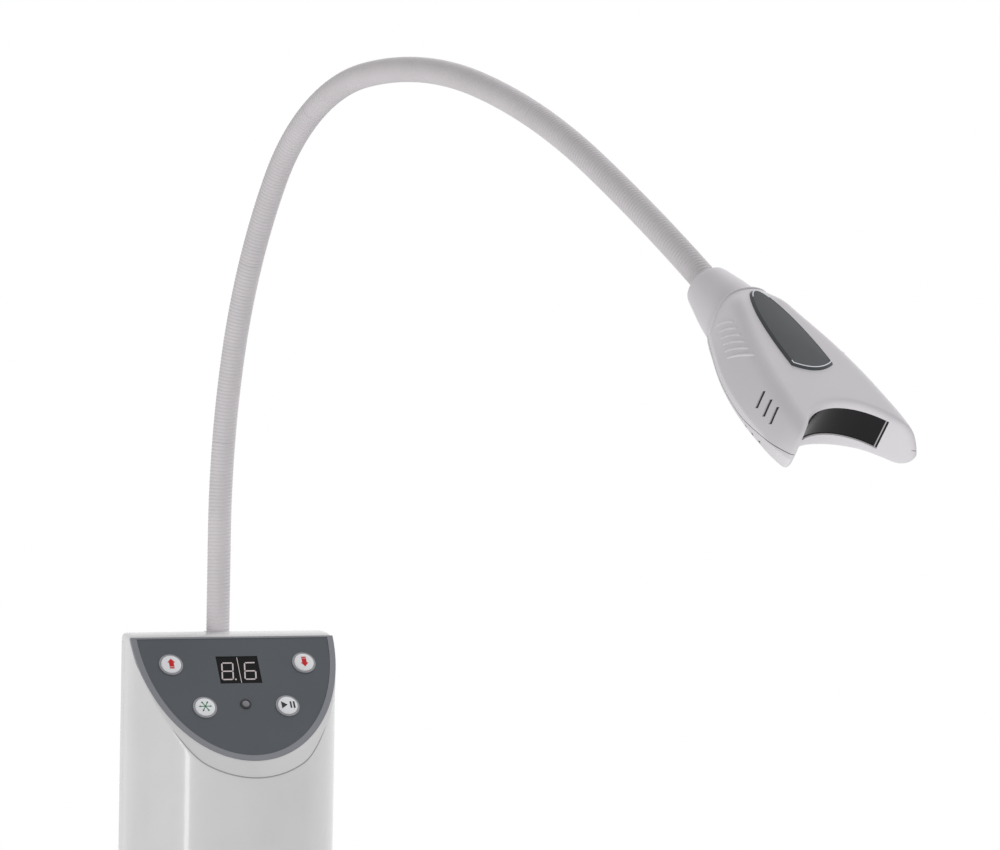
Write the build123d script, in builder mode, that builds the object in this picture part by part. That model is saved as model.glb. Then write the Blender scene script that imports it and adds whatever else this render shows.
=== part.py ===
from build123d import *
from math import cos, degrees, radians, sin
import os

os.makedirs("parts", exist_ok=True)

# All lengths are in millimetres. The origin is the mouth of the pole socket under the
# box, +Z is up and the control panel faces -Y.

# Driving sizes of the control box.
box_half_width = 62
box_height = 235
pole_collar_drop = 30
panel_edge_y = 14
box_back_y = 41
front_corner_in = 15.5
front_corner_y = -32
front_middle_y = -44
front_corner_x = box_half_width - front_corner_in
back_corner_radius = 9
front_corner_radius = 8
side_bend_radius = 40
wall = 2.5
floor_wall = 3
join_gap = 0.1
fit = 0.05
box_bottom = pole_collar_drop
box_top = box_bottom + box_height
big = 400

# The sloped panel: half an ellipse on a plane leaning back from vertical.
panel_tilt = 39.5
panel_half_width = box_half_width
panel_length = 87.5
panel_lip = 0.8
panel_pocket = 1.8
bezel_proud = 0.3
bezel_width = 3.6
bezel_top_width = 1.2
band_growth = 0.287
band_drop = 60
tilt = radians(panel_tilt)
panel_plane = Plane(origin=(0, panel_edge_y, box_top), x_dir=(1, 0, 0), z_dir=(0, -cos(tilt), sin(tilt)))
band_plane = Plane(
    origin=(0, panel_edge_y, box_top - band_drop), x_dir=(1, 0, 0), z_dir=(0, -cos(tilt), sin(tilt))
)

# What stands in the panel, as places across it and down its slope.
upper_key_in = 21.5
upper_key_y = -20.2
lower_key_in = 37
lower_key_y = -50.4
upper_key_x = panel_half_width - upper_key_in
lower_key_x = panel_half_width - lower_key_in
key_places = {
    "up": (-upper_key_x, upper_key_y),
    "down": (upper_key_x, upper_key_y),
    "start": (-lower_key_x, lower_key_y),
    "pause": (lower_key_x, lower_key_y),
}
digit_width = 12.6
digit_height = 19
digit_depth = 8
digit_sunk = 0.5
display_y = -24.2
indicator_y = -48.4
indicator_radius = 2.9
key_radius = 6
key_proud = 1.4
key_travel = 1
key_dome = 0.5
key_flange_radius = 7.5
key_flange = 1.2
key_stem_radius = 2
key_slack = 0.15
ring_radius = 7.1
ring_proud = 0.6
board_depth = 12.5
board_thickness = 1.6
switch_side = 6
switch_height = 3.5
board_top_in = 12
board_foot_in = 28
board_top_half = panel_half_width - board_top_in
board_foot_half = panel_half_width - board_foot_in
board_top_y = -6
board_foot_y = -66
board_boss_radius = 3.2
board_boss_places = [(-27, -10), (27, -10), (0, -60)]
board_screw_radius = 1.25
screw_head_radius = 2.5
screw_head = 1.8

# The flexible neck: arcs joined ball in cup, read off the photograph in one upright plane.
neck_x = -4.5
neck_y = 29
neck_heading = 16
neck_radius = 7
neck_bore = 2.5
neck_foot = 60
link_length = 109
link_turns = [13.4, 19.1, 51.8, 23.0, 14.2, 4.5]
ball_radius = 6.4
joint_gap = 1.15
flange_radius = 8.4
flange_height = 1.6
spigot_radius = 5
spigot_length = 16
nut_across = 14.5
nut_height = 6

# The lamp head, in its own frame: x runs forward out of the neck, z is its upper side.
parting_z = -4.5
head_floor_z = -14
top_start_z = 20.8
top_fall = 4.1
mouth_x = 144.5
mouth_radius = 29
flare_angle = 54
flare_end = (139.5, 36.8)
head_wall = 2.2
collar_length = 30
collar_bore_depth = 18
collar_foot_radius = 11.5
collar_end_radius = 16
hood_start_x = 24
hood_end_x = 48
hood_start_radius = 17.4
hood_end_radius = 16.8
hood_low_radius = 16
window_low_z = -10
window_high_z = 9
window_sweep = 52
window_thickness = 2

# Pole socket under the box.
pole_bore_radius = 12.8
pole_tube_radius = 17
pole_depth = 60
pole_cap = 4
pole_flange_radius = 27
pole_flange = 4
pole_screw_circle = 22
pole_screw_count = 4
pole_screw_turn = 45
pole_screw_radius = 2
pole_screw_head_radius = 3.5
pole_screw_head = 2.2
knob_z = 13
knob_radius = 13
knob_height = 14
knob_stem_radius = 3
knob_lobes = 6
knob_lobe_turn = 30
knob_gap = 3


def plan_sketch(z, inset):
    """Outline of the box seen from above, drawn inwards by inset."""
    with BuildSketch(Plane.XY.offset(z)) as plan:
        with BuildLine():
            Line((-box_half_width, box_back_y), (box_half_width, box_back_y))
            Line((box_half_width, box_back_y), (box_half_width, panel_edge_y))
            Line((box_half_width, panel_edge_y), (front_corner_x, front_corner_y))
            ThreePointArc(
                (front_corner_x, front_corner_y), (0, front_middle_y), (-front_corner_x, front_corner_y)
            )
            Line((-front_corner_x, front_corner_y), (-box_half_width, panel_edge_y))
            Line((-box_half_width, panel_edge_y), (-box_half_width, box_back_y))
        make_face()
        rows = plan.vertices().group_by(Axis.Y)
        fillet(rows[-1], back_corner_radius)
        fillet(plan.vertices().group_by(Axis.Y)[0], front_corner_radius)
        bends = plan.vertices().filter_by_position(Axis.Y, panel_edge_y - join_gap, panel_edge_y + join_gap)
        fillet(bends, side_bend_radius)
        if inset:
            offset(amount=-inset)
    return plan.sketch


def box_form(inset, panel_inset):
    """The closed body of the box, with the sloped front cut as a half cone below the panel."""
    floor = floor_wall if inset else 0
    lift = -panel_inset
    half_width = panel_half_width + panel_lip - inset
    length = panel_length + panel_lip - inset
    grow = band_growth * band_drop
    with BuildPart() as slope:
        with BuildSketch(panel_plane.offset(lift)):
            Ellipse(half_width, length)
        with BuildSketch(band_plane.offset(lift)):
            Ellipse(half_width + grow, length + grow / sin(tilt))
        loft(ruled=True)
        with BuildSketch(band_plane.offset(lift)):
            Rectangle(big, big)
        extrude(amount=-big)
        with Locations((0, panel_edge_y + inset, box_bottom)):
            Box(big, big, big, align=(Align.CENTER, Align.MIN, Align.MIN))
    with BuildPart() as form:
        add(plan_sketch(box_bottom + floor, inset))
        extrude(amount=box_height - inset - floor)
        add(slope.part, mode=Mode.INTERSECT)
    return form.part


def half_ellipse(plane, half_width, length, top):
    """Half an ellipse hanging from a straight top edge."""
    with BuildSketch(plane) as face:
        Ellipse(half_width, length)
        with Locations((0, -top)):
            Rectangle(big, big, align=(Align.CENTER, Align.MAX), mode=Mode.INTERSECT)
    return face.sketch


# Front housing: the sloped face, both sides, the front, the bottom and the top strip.
shell_form = box_form(0, 0)
hollow_form = box_form(wall, wall + panel_pocket)
seam_y = 26
top_plate = 4
cover_boss_in = 13.5
cover_boss_x = box_half_width - cover_boss_in
cover_boss_radius = 4.4
cover_boss_low = box_bottom + 14
cover_boss_high = box_top - 80
cover_boss_places = [(-cover_boss_x, cover_boss_low), (cover_boss_x, cover_boss_low),
                     (-cover_boss_x, cover_boss_high), (cover_boss_x, cover_boss_high)]
cover_boss_front = 8
cover_screw_radius = 1.5
cover_head_radius = 3
cover_head = 2
boss_rib = 4
shell_depth = box_back_y - seam_y

with BuildPart() as front_housing:
    add(shell_form)
    add(hollow_form, mode=Mode.SUBTRACT)
    with Locations((0, seam_y, box_bottom)):
        Box(
            big,
            big,
            box_height - top_plate,
            align=(Align.CENTER, Align.MIN, Align.MIN),
            mode=Mode.SUBTRACT,
        )
    # Bosses that take the rear cover's screws, each ribbed to its side wall.
    for x, z in cover_boss_places:
        side = 1 if x > 0 else -1
        with Locations((x, cover_boss_front, z)):
            Cylinder(
                cover_boss_radius,
                box_back_y - wall - join_gap - cover_boss_front,
                rotation=(-90, 0, 0),
                align=(Align.CENTER, Align.CENTER, Align.MIN),
            )
        with Locations((x + side * cover_boss_radius / 2, cover_boss_front, z)):
            Box(
                box_half_width - wall / 2 - cover_boss_x - cover_boss_radius / 2,
                seam_y - join_gap - cover_boss_front,
                boss_rib,
                align=(Align.MIN if side > 0 else Align.MAX, Align.MIN, Align.CENTER),
            )
    # Pocket for the bezel and the faceplate, and the openings behind them.
    with BuildSketch(panel_plane):
        add(half_ellipse(Plane.XY, panel_half_width, panel_length, panel_lip))
    extrude(amount=-panel_pocket, mode=Mode.SUBTRACT)
    with BuildSketch(panel_plane):
        with Locations(*key_places.values()):
            Circle(key_radius + 2 * key_slack)
        with Locations((0, display_y)):
            Rectangle(2 * digit_width + 4 * fit, digit_height + 4 * fit)
        with Locations((0, indicator_y)):
            Circle(indicator_radius + fit)
    extrude(amount=-(panel_pocket + 2 * wall), mode=Mode.SUBTRACT)
    # Standoffs for the control board.
    with BuildSketch(panel_plane.offset(-board_depth)):
        with Locations(*board_boss_places):
            Circle(board_boss_radius)
    extrude(amount=board_depth - panel_pocket - wall / 2)
    with BuildSketch(panel_plane.offset(-board_depth)):
        with Locations(*board_boss_places):
            Circle(board_screw_radius)
    extrude(amount=board_depth - panel_pocket - wall, mode=Mode.SUBTRACT)
    # The neck's hole in the top and the pole socket's hole in the floor.
    with Locations((neck_x, neck_y, box_top)):
        Cylinder(spigot_radius + fit, 2 * top_plate, mode=Mode.SUBTRACT)
    with Locations((0, 0, box_bottom)):
        Cylinder(pole_tube_radius + fit, 3 * floor_wall, mode=Mode.SUBTRACT)
    with BuildSketch(Plane.XY.offset(box_bottom)):
        with PolarLocations(pole_screw_circle, pole_screw_count, start_angle=pole_screw_turn):
            Circle(pole_screw_radius + fit)
    extrude(amount=floor_wall, mode=Mode.SUBTRACT)
    with BuildSketch(Plane.XZ.offset(-(cover_boss_front + wall))):
        with Locations(*cover_boss_places):
            Circle(cover_screw_radius)
    extrude(amount=-big, mode=Mode.SUBTRACT)
front_housing.part.label = "front_housing"
export_step(front_housing.part, "parts/front_housing.step")

# Rear cover, with the cut-outs for the mains inlet and the rocker switch.
inlet_x = -22
inlet_z = box_bottom + 36
inlet_width = 27
inlet_height = 20
inlet_flange_width = 40
inlet_flange_height = 24
inlet_flange = 2
inlet_depth = 14
switch_x = 24
switch_z = inlet_z
rocker_hole_width = 13
rocker_hole_height = 19
vent_count = 7
vent_length = 44
vent_width = 2.4
vent_pitch = 6
vent_z = box_top - 60
psu_boss_in = 28
psu_boss_x = box_half_width - psu_boss_in
psu_boss_z = [box_bottom + 70, box_bottom + 150]
psu_boss_radius = 3.5
psu_boss_length = 5

with BuildPart() as rear_cover:
    add(shell_form)
    add(hollow_form, mode=Mode.SUBTRACT)
    with Locations((0, seam_y + join_gap, box_bottom)):
        Box(
            big,
            box_back_y,
            box_height - top_plate - join_gap,
            align=(Align.CENTER, Align.MIN, Align.MIN),
            mode=Mode.INTERSECT,
        )
    with BuildSketch(Plane.XZ.offset(-(box_back_y - 2 * wall))):
        with Locations((inlet_x, inlet_z)):
            Rectangle(inlet_width + 2 * fit, inlet_height + 2 * fit)
        with Locations((switch_x, switch_z)):
            Rectangle(rocker_hole_width + 2 * fit, rocker_hole_height + 2 * fit)
        with Locations((0, vent_z)):
            with GridLocations(0, vent_pitch, 1, vent_count):
                SlotOverall(vent_length, vent_width)
        with Locations(*cover_boss_places):
            Circle(cover_screw_radius + fit)
    extrude(amount=-3 * wall, mode=Mode.SUBTRACT)
    with BuildSketch(Plane.XZ.offset(-(box_back_y - wall - psu_boss_length))):
        with Locations(*[(side * psu_boss_x, z) for side in (-1, 1) for z in psu_boss_z]):
            Circle(psu_boss_radius)
    extrude(amount=-(psu_boss_length + wall / 2))
    with BuildSketch(Plane.XZ.offset(-(box_back_y - wall - psu_boss_length))):
        with Locations(*[(side * psu_boss_x, z) for side in (-1, 1) for z in psu_boss_z]):
            Circle(board_screw_radius)
    extrude(amount=-psu_boss_length, mode=Mode.SUBTRACT)
rear_cover.part.label = "rear_cover"
export_step(rear_cover.part, "parts/rear_cover.step")

with BuildPart() as cover_screws:
    with Locations(*[(x, box_back_y, z) for x, z in cover_boss_places]):
        Cylinder(
            cover_head_radius,
            cover_head,
            rotation=(-90, 0, 0),
            align=(Align.CENTER, Align.CENTER, Align.MIN),
        )
        Cylinder(
            cover_screw_radius,
            shell_depth + 2 * wall,
            rotation=(90, 0, 0),
            align=(Align.CENTER, Align.CENTER, Align.MIN),
        )
cover_screws.part.label = "cover_screws"
export_step(cover_screws.part, "parts/cover_screws.step")

# Bezel and faceplate of the panel.
with BuildPart() as panel_bezel:
    with BuildSketch(panel_plane.offset(-panel_pocket)):
        add(half_ellipse(Plane.XY, panel_half_width - fit, panel_length - fit, panel_lip + fit))
        add(
            half_ellipse(
                Plane.XY,
                panel_half_width - bezel_width,
                panel_length - bezel_width,
                panel_lip + bezel_top_width,
            ),
            mode=Mode.SUBTRACT,
        )
    extrude(amount=panel_pocket + bezel_proud)
panel_bezel.part.label = "panel_bezel"
export_step(panel_bezel.part, "parts/panel_bezel.step")

with BuildPart() as panel_faceplate:
    with BuildSketch(panel_plane.offset(-panel_pocket)):
        add(
            half_ellipse(
                Plane.XY,
                panel_half_width - bezel_width - fit,
                panel_length - bezel_width - fit,
                panel_lip + bezel_top_width + fit,
            )
        )
        with Locations(*key_places.values()):
            Circle(ring_radius + fit, mode=Mode.SUBTRACT)
        with Locations((0, display_y)):
            Rectangle(2 * digit_width + 4 * fit, digit_height + 4 * fit, mode=Mode.SUBTRACT)
        with Locations((0, indicator_y)):
            Circle(indicator_radius + fit, mode=Mode.SUBTRACT)
    extrude(amount=panel_pocket)
panel_faceplate.part.label = "panel_faceplate"
export_step(panel_faceplate.part, "parts/panel_faceplate.step")

# Two single digits side by side on one header.
for name, side in (("digit_tens", -1), ("digit_units", 1)):
    with BuildPart() as digit:
        with BuildSketch(panel_plane.offset(-digit_sunk)):
            with Locations((side * (digit_width / 2 + fit), display_y)):
                Rectangle(digit_width, digit_height)
        extrude(amount=-digit_depth)
    digit.part.label = name
    export_step(digit.part, "parts/%s.step" % name)

with BuildPart() as display_header:
    with BuildSketch(panel_plane.offset(-board_depth)):
        with Locations((0, display_y)):
            Rectangle(2 * digit_width, digit_height)
    extrude(amount=board_depth - digit_sunk - digit_depth)
display_header.part.label = "display_header"
export_step(display_header.part, "parts/display_header.step")

with BuildPart() as indicator_lens:
    with BuildSketch(panel_plane.offset(-board_depth)):
        with Locations((0, indicator_y)):
            Circle(indicator_radius)
    extrude(amount=board_depth + bezel_proud)
indicator_lens.part.label = "indicator_lens"
export_step(indicator_lens.part, "parts/indicator_lens.step")

# Four push buttons: a ring in the faceplate, a domed cap, and a switch on the board.
key_flange_top = panel_pocket + wall + fit
switch_top = board_depth - switch_height
for name, place in key_places.items():
    with BuildPart() as key_ring:
        with BuildSketch(panel_plane.offset(-panel_pocket)):
            with Locations(place):
                Circle(ring_radius)
                Circle(key_radius + key_slack, mode=Mode.SUBTRACT)
        extrude(amount=panel_pocket + ring_proud)
    key_ring.part.label = "ring_" + name
    export_step(key_ring.part, "parts/ring_%s.step" % name)

    with BuildPart() as button:
        with BuildSketch(panel_plane.offset(-key_flange_top)):
            with Locations(place):
                Circle(key_radius)
        extrude(amount=key_flange_top + key_proud)
        chamfer(button.faces().sort_by(Axis.Z)[-1].edges(), key_dome)
        with BuildSketch(panel_plane.offset(-key_flange_top)):
            with Locations(place):
                Circle(key_flange_radius)
        extrude(amount=-key_flange)
        with BuildSketch(panel_plane.offset(-key_flange_top - key_flange)):
            with Locations(place):
                Circle(key_stem_radius)
        extrude(amount=-(switch_top - key_travel - 2 * fit - key_flange_top - key_flange))
    button.part.label = "button_" + name
    export_step(button.part, "parts/button_%s.step" % name)


with BuildPart() as control_board:
    with BuildSketch(panel_plane.offset(-board_depth)):
        with BuildLine():
            Polyline(
                (-board_top_half, board_top_y),
                (board_top_half, board_top_y),
                (board_foot_half, board_foot_y),
                (-board_foot_half, board_foot_y),
                close=True,
            )
        make_face()
        with Locations(*board_boss_places):
            Circle(board_screw_radius + fit, mode=Mode.SUBTRACT)
    extrude(amount=-board_thickness)
    # The four switches under the buttons.
    with BuildSketch(panel_plane.offset(-board_depth)):
        with Locations(*key_places.values()):
            Rectangle(switch_side, switch_side)
    extrude(amount=switch_height)
control_board.part.label = "control_board"
export_step(control_board.part, "parts/control_board.step")

with BuildPart() as board_screws:
    with BuildSketch(panel_plane.offset(-board_depth - board_thickness)):
        with Locations(*board_boss_places):
            Circle(screw_head_radius)
    extrude(amount=-screw_head)
    with BuildSketch(panel_plane.offset(-board_depth - board_thickness)):
        with Locations(*board_boss_places):
            Circle(board_screw_radius)
    extrude(amount=board_thickness + wall + board_screw_radius)
board_screws.part.label = "board_screws"
export_step(board_screws.part, "parts/board_screws.step")

# Mains inlet, rocker switch and supply on the rear cover.
pin_radius = 2.4
with BuildPart() as power_inlet:
    with BuildSketch(Plane.XZ.offset(-box_back_y)):
        with Locations((inlet_x, inlet_z)):
            RectangleRounded(inlet_flange_width, inlet_flange_height, inlet_flange)
    extrude(amount=-inlet_flange)
    with BuildSketch(Plane.XZ.offset(-box_back_y)):
        with Locations((inlet_x, inlet_z)):
            Rectangle(inlet_width, inlet_height)
    extrude(amount=inlet_depth)
    with BuildSketch(Plane.XZ.offset(-(box_back_y + inlet_flange))):
        with Locations((inlet_x, inlet_z)):
            RectangleRounded(inlet_width - 2 * wall, inlet_height - 2 * wall, inlet_flange)
    extrude(amount=inlet_depth - wall, mode=Mode.SUBTRACT)
    with BuildSketch(Plane.XZ.offset(-(box_back_y + inlet_flange - inlet_depth + wall / 2))):
        with Locations((inlet_x, inlet_z)):
            with GridLocations(inlet_height / 2, 0, 2, 1):
                Circle(pin_radius)
    extrude(amount=-(inlet_depth / 2))
power_inlet.part.label = "power_inlet"
export_step(power_inlet.part, "parts/power_inlet.step")

rocker_bezel_width = 15
rocker_bezel_height = 21
rocker_bezel = 2
rocker_depth = 12
rocker_width = 9
rocker_swing = 16
rocker_radius = 8.6
rocker_axis_y = box_back_y - 4
with BuildPart() as rocker_body:
    with BuildSketch(Plane.XZ.offset(-box_back_y)):
        with Locations((switch_x, switch_z)):
            Rectangle(rocker_bezel_width, rocker_bezel_height)
    extrude(amount=-rocker_bezel)
    with BuildSketch(Plane.XZ.offset(-box_back_y)):
        with Locations((switch_x, switch_z)):
            Rectangle(rocker_hole_width, rocker_hole_height)
    extrude(amount=rocker_depth)
    with Locations((switch_x, rocker_axis_y, switch_z)):
        Cylinder(
            rocker_radius + 4 * fit,
            rocker_width + 4 * fit,
            rotation=(0, 90, 0),
            mode=Mode.SUBTRACT,
        )
rocker_body.part.label = "rocker_body"
export_step(rocker_body.part, "parts/rocker_body.step")

rocker_cut = 3
with BuildPart() as rocker:
    with Locations((switch_x, rocker_axis_y, switch_z)):
        Cylinder(rocker_radius, rocker_width, rotation=(0, 90, 0))
        with Locations(Rotation(rocker_swing / 2, 0, 0)):
            with Locations((0, rocker_cut + rocker_bezel, 0)):
                Box(
                    2 * rocker_width,
                    big,
                    big,
                    align=(Align.CENTER, Align.MIN, Align.CENTER),
                    mode=Mode.SUBTRACT,
                )
        with Locations((0, -rocker_cut, 0)):
            Box(2 * rocker_width, big, big, align=(Align.CENTER, Align.MAX, Align.CENTER), mode=Mode.SUBTRACT)
rocker.part.label = "rocker"
export_step(rocker.part, "parts/rocker.step")

psu_board_edge = 6
psu_width = 2 * (psu_boss_x + psu_board_edge)
psu_board_low = psu_boss_z[0] - psu_board_edge
psu_board_height = psu_boss_z[1] - psu_boss_z[0] + 2 * psu_board_edge
psu_board_y = box_back_y - wall - psu_boss_length
psu_block_in = 7
psu_block_width = 2 * (psu_boss_x - psu_block_in)
psu_block_height = 62
psu_block_depth = 20
with BuildPart() as power_board:
    with Locations((0, psu_board_y, psu_board_low)):
        Box(psu_width, board_thickness, psu_board_height, align=(Align.CENTER, Align.MAX, Align.MIN))
    with BuildSketch(Plane.XZ.offset(-psu_board_y)):
        with Locations(*[(side * psu_boss_x, z) for side in (-1, 1) for z in psu_boss_z]):
            Circle(board_screw_radius + fit)
    extrude(amount=2 * board_thickness, both=True, mode=Mode.SUBTRACT)
power_board.part.label = "power_board"
export_step(power_board.part, "parts/power_board.step")

with BuildPart() as power_module:
    with Locations((0, psu_board_y - board_thickness, psu_board_low + psu_board_height / 2)):
        Box(
            psu_block_width, psu_block_depth, psu_block_height, align=(Align.CENTER, Align.MAX, Align.CENTER)
        )
    fillet(power_module.edges().filter_by(Axis.Y), wall)
power_module.part.label = "power_module"
export_step(power_module.part, "parts/power_module.step")

# Pole socket, its screws and its clamp knob.
with BuildPart() as pole_collar:
    Cylinder(pole_tube_radius, pole_depth + pole_cap, align=(Align.CENTER, Align.CENTER, Align.MIN))
    with Locations((0, 0, box_bottom)):
        Cylinder(pole_flange_radius, pole_flange, align=(Align.CENTER, Align.CENTER, Align.MAX))
    Cylinder(
        pole_bore_radius,
        pole_depth,
        align=(Align.CENTER, Align.CENTER, Align.MIN),
        mode=Mode.SUBTRACT,
    )
    with BuildSketch(Plane.XY.offset(box_bottom - pole_flange)):
        with PolarLocations(pole_screw_circle, pole_screw_count, start_angle=pole_screw_turn):
            Circle(pole_screw_radius + fit)
    extrude(amount=pole_flange, mode=Mode.SUBTRACT)
    with Locations((0, 0, knob_z)):
        Cylinder(
            knob_stem_radius + fit,
            2 * pole_tube_radius,
            rotation=(-90, 0, 0),
            align=(Align.CENTER, Align.CENTER, Align.MIN),
            mode=Mode.SUBTRACT,
        )
pole_collar.part.label = "pole_collar"
export_step(pole_collar.part, "parts/pole_collar.step")

with BuildPart() as collar_screws:
    with Locations((0, 0, box_bottom - pole_flange)):
        with PolarLocations(pole_screw_circle, pole_screw_count, start_angle=pole_screw_turn):
            Cylinder(pole_screw_head_radius, pole_screw_head, align=(Align.CENTER, Align.CENTER, Align.MAX))
            Cylinder(
                pole_screw_radius,
                pole_flange + 2 * floor_wall,
                align=(Align.CENTER, Align.CENTER, Align.MIN),
            )
collar_screws.part.label = "collar_screws"
export_step(collar_screws.part, "parts/collar_screws.step")

knob_start = pole_tube_radius + knob_gap
with BuildPart() as clamp_knob:
    with BuildSketch(Plane.XZ.offset(-knob_start)):
        with Locations((0, knob_z)):
            Circle(knob_radius)
            with PolarLocations(knob_radius + knob_gap / 2, knob_lobes, start_angle=knob_lobe_turn):
                Circle(knob_gap + knob_gap / 2, mode=Mode.SUBTRACT)
    extrude(amount=-knob_height)
    fillet(clamp_knob.faces().sort_by(Axis.Y)[-1].edges(), knob_gap / 2)
    with Locations((0, pole_bore_radius + fit, knob_z)):
        Cylinder(
            knob_stem_radius,
            knob_start - pole_bore_radius + fit,
            rotation=(-90, 0, 0),
            align=(Align.CENTER, Align.CENTER, Align.MIN),
        )
clamp_knob.part.label = "clamp_knob"
export_step(clamp_knob.part, "parts/clamp_knob.step")

# The neck's foot: a flange on the box, a lock nut under the top, then the first straight link.
with BuildPart() as neck_flange:
    with Locations((neck_x, neck_y, box_top)):
        Cylinder(flange_radius, flange_height, align=(Align.CENTER, Align.CENTER, Align.MIN))
        Cylinder(neck_radius + fit, 3 * flange_height, mode=Mode.SUBTRACT)
    fillet(neck_flange.edges().group_by(Axis.Z)[-1].sort_by(SortBy.LENGTH)[-1], flange_height / 2)
neck_flange.part.label = "neck_flange"
export_step(neck_flange.part, "parts/neck_flange.step")

with BuildPart() as neck_nut:
    with BuildSketch(Plane.XY.offset(box_top - wall)):
        with Locations((neck_x, neck_y)):
            RegularPolygon(nut_across / 2, 6, major_radius=False)
            Circle(spigot_radius + fit, mode=Mode.SUBTRACT)
    extrude(amount=-nut_height)
neck_nut.part.label = "neck_nut"
export_step(neck_nut.part, "parts/neck_nut.step")


def neck_plane(start, angle):
    """Frame of a cut across the neck: its z runs along the neck, its x lies in the neck's plane."""
    heading = radians(neck_heading)
    rise = radians(angle)
    along = Vector(sin(heading) * cos(rise), -cos(heading) * cos(rise), sin(rise))
    across = Vector(sin(heading) * sin(rise), -cos(heading) * sin(rise), -cos(rise))
    return Plane(origin=start, x_dir=across, z_dir=along)


def arc_end(start, angle, length, turn):
    """Where an arc of the neck ends, in the upright plane of the neck."""
    heading = radians(neck_heading)
    steps = radians(turn)
    first = radians(angle)
    radius = length / steps
    run = radius * (sin(first) - sin(first - steps))
    climb = radius * (cos(first - steps) - cos(first))
    return start + Vector(sin(heading) * run, -cos(heading) * run, climb)


link_ends = [Vector(neck_x, neck_y, box_top + neck_foot)]
link_angles = [90]
for turn in link_turns:
    link_ends.append(arc_end(link_ends[-1], link_angles[-1], link_length, turn))
    link_angles.append(link_angles[-1] - turn)

with BuildPart() as neck_link_0:
    with Locations((neck_x, neck_y, box_top)):
        Cylinder(neck_radius, neck_foot - joint_gap, align=(Align.CENTER, Align.CENTER, Align.MIN))
        Cylinder(spigot_radius, spigot_length, align=(Align.CENTER, Align.CENTER, Align.MAX))
        Cylinder(neck_bore, 3 * neck_foot, mode=Mode.SUBTRACT)
    with Locations(link_ends[0]):
        Sphere(ball_radius + fit, mode=Mode.SUBTRACT)
neck_link_0.part.label = "neck_link_0"
export_step(neck_link_0.part, "parts/neck_link_0.step")

for i, turn in enumerate(link_turns):
    last = i == len(link_turns) - 1
    start_plane = neck_plane(link_ends[i], link_angles[i])
    end_plane = neck_plane(link_ends[i + 1], link_angles[i + 1])
    bend_radius = link_length / radians(turn)
    trim = degrees(joint_gap / bend_radius)
    middle = arc_end(link_ends[i], link_angles[i], link_length / 2, turn / 2)
    tube_start = arc_end(link_ends[i], link_angles[i], joint_gap, trim)
    if last:
        tube_end = link_ends[i + 1]
    else:
        tube_end = arc_end(link_ends[i], link_angles[i], link_length - joint_gap, turn - trim)
    with BuildPart() as link:
        with BuildLine() as tube_line:
            ThreePointArc(tube_start, middle, tube_end)
        with BuildSketch(neck_plane(tube_start, link_angles[i] - trim)):
            Circle(neck_radius)
        sweep(path=tube_line.wires()[0])
        with Locations(link_ends[i]):
            Sphere(ball_radius)
        with BuildLine() as bore_line:
            ThreePointArc(link_ends[i], middle, link_ends[i + 1])
        with BuildSketch(neck_plane(link_ends[i], link_angles[i])):
            Circle(neck_bore)
        sweep(path=bore_line.wires()[0], mode=Mode.SUBTRACT)
        with BuildSketch(start_plane):
            Circle(neck_bore)
        extrude(amount=-2 * ball_radius, mode=Mode.SUBTRACT)
        if last:
            with BuildSketch(end_plane):
                Circle(neck_radius)
                Circle(neck_bore, mode=Mode.SUBTRACT)
            extrude(amount=collar_bore_depth - fit)
        else:
            with Locations(link_ends[i + 1]):
                Sphere(ball_radius + fit, mode=Mode.SUBTRACT)
    link.part.label = "neck_link_%d" % (i + 1)
    export_step(link.part, "parts/neck_link_%d.step" % (i + 1))

# The lamp head's own frame, placed on the end of the neck.
head_heading = radians(neck_heading)
slope = radians(link_angles[-1])
head_x = Vector(sin(head_heading) * cos(slope), -cos(head_heading) * cos(slope), sin(slope))
head_z = Vector(-sin(head_heading) * sin(slope), cos(head_heading) * sin(slope), cos(slope))
head_origin = link_ends[-1]
head_plane = Plane(origin=head_origin, x_dir=head_x, z_dir=head_z)
fall = radians(top_fall)
roof_plane = Plane(
    origin=(0, 0, top_start_z), x_dir=(cos(fall), 0, -sin(fall)), z_dir=(sin(fall), 0, cos(fall))
)

# Outline of the head at its parting line and round its top, as half widths along x.
side_back = (24, 14)
side_flank = (47, 24.5)
side_wide = (70, 34.5)
side_most = (94, 40.5)
side_fore = (118, 42)
side_tip = (131, 41.3)
side_end = (139.5, 38.4)
roof_back = (30, 10)
roof_flank = (50, 19.5)
roof_wide = (71, 26)
roof_most = (94, 30)
roof_fore = (115, 31.2)
roof_tip = (124, 31)
roof_end = (131.5, 30)
floor_back = (27, 10)
floor_flank = (49, 20)
floor_wide = (71, 27.5)
floor_most = (94, 31.7)
floor_fore = (116, 33)
floor_tip = (126, 32.5)
floor_end = (133, 30.8)


def mirrored(point):
    return (point[0], -point[1])


def leaf_sketch(plane, points, grow):
    """A leaf-shaped outline of three arcs a side, each half width wider by grow."""
    last = len(points) - 1
    steps = [-grow if i == 0 else grow if i == last else 0 for i in range(last + 1)]
    back, flank, wide, most, fore, tip, end = [
        (x + step, y + grow) for (x, y), step in zip(points, steps)
    ]
    with BuildSketch(plane) as leaf:
        with BuildLine():
            ThreePointArc(back, flank, wide)
            ThreePointArc(wide, most, fore)
            ThreePointArc(fore, tip, end)
            Line(end, mirrored(end))
            ThreePointArc(mirrored(end), mirrored(tip), mirrored(fore))
            ThreePointArc(mirrored(fore), mirrored(most), mirrored(wide))
            ThreePointArc(mirrored(wide), mirrored(flank), mirrored(back))
            Line(mirrored(back), back)
        make_face()
    return leaf.sketch


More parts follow.
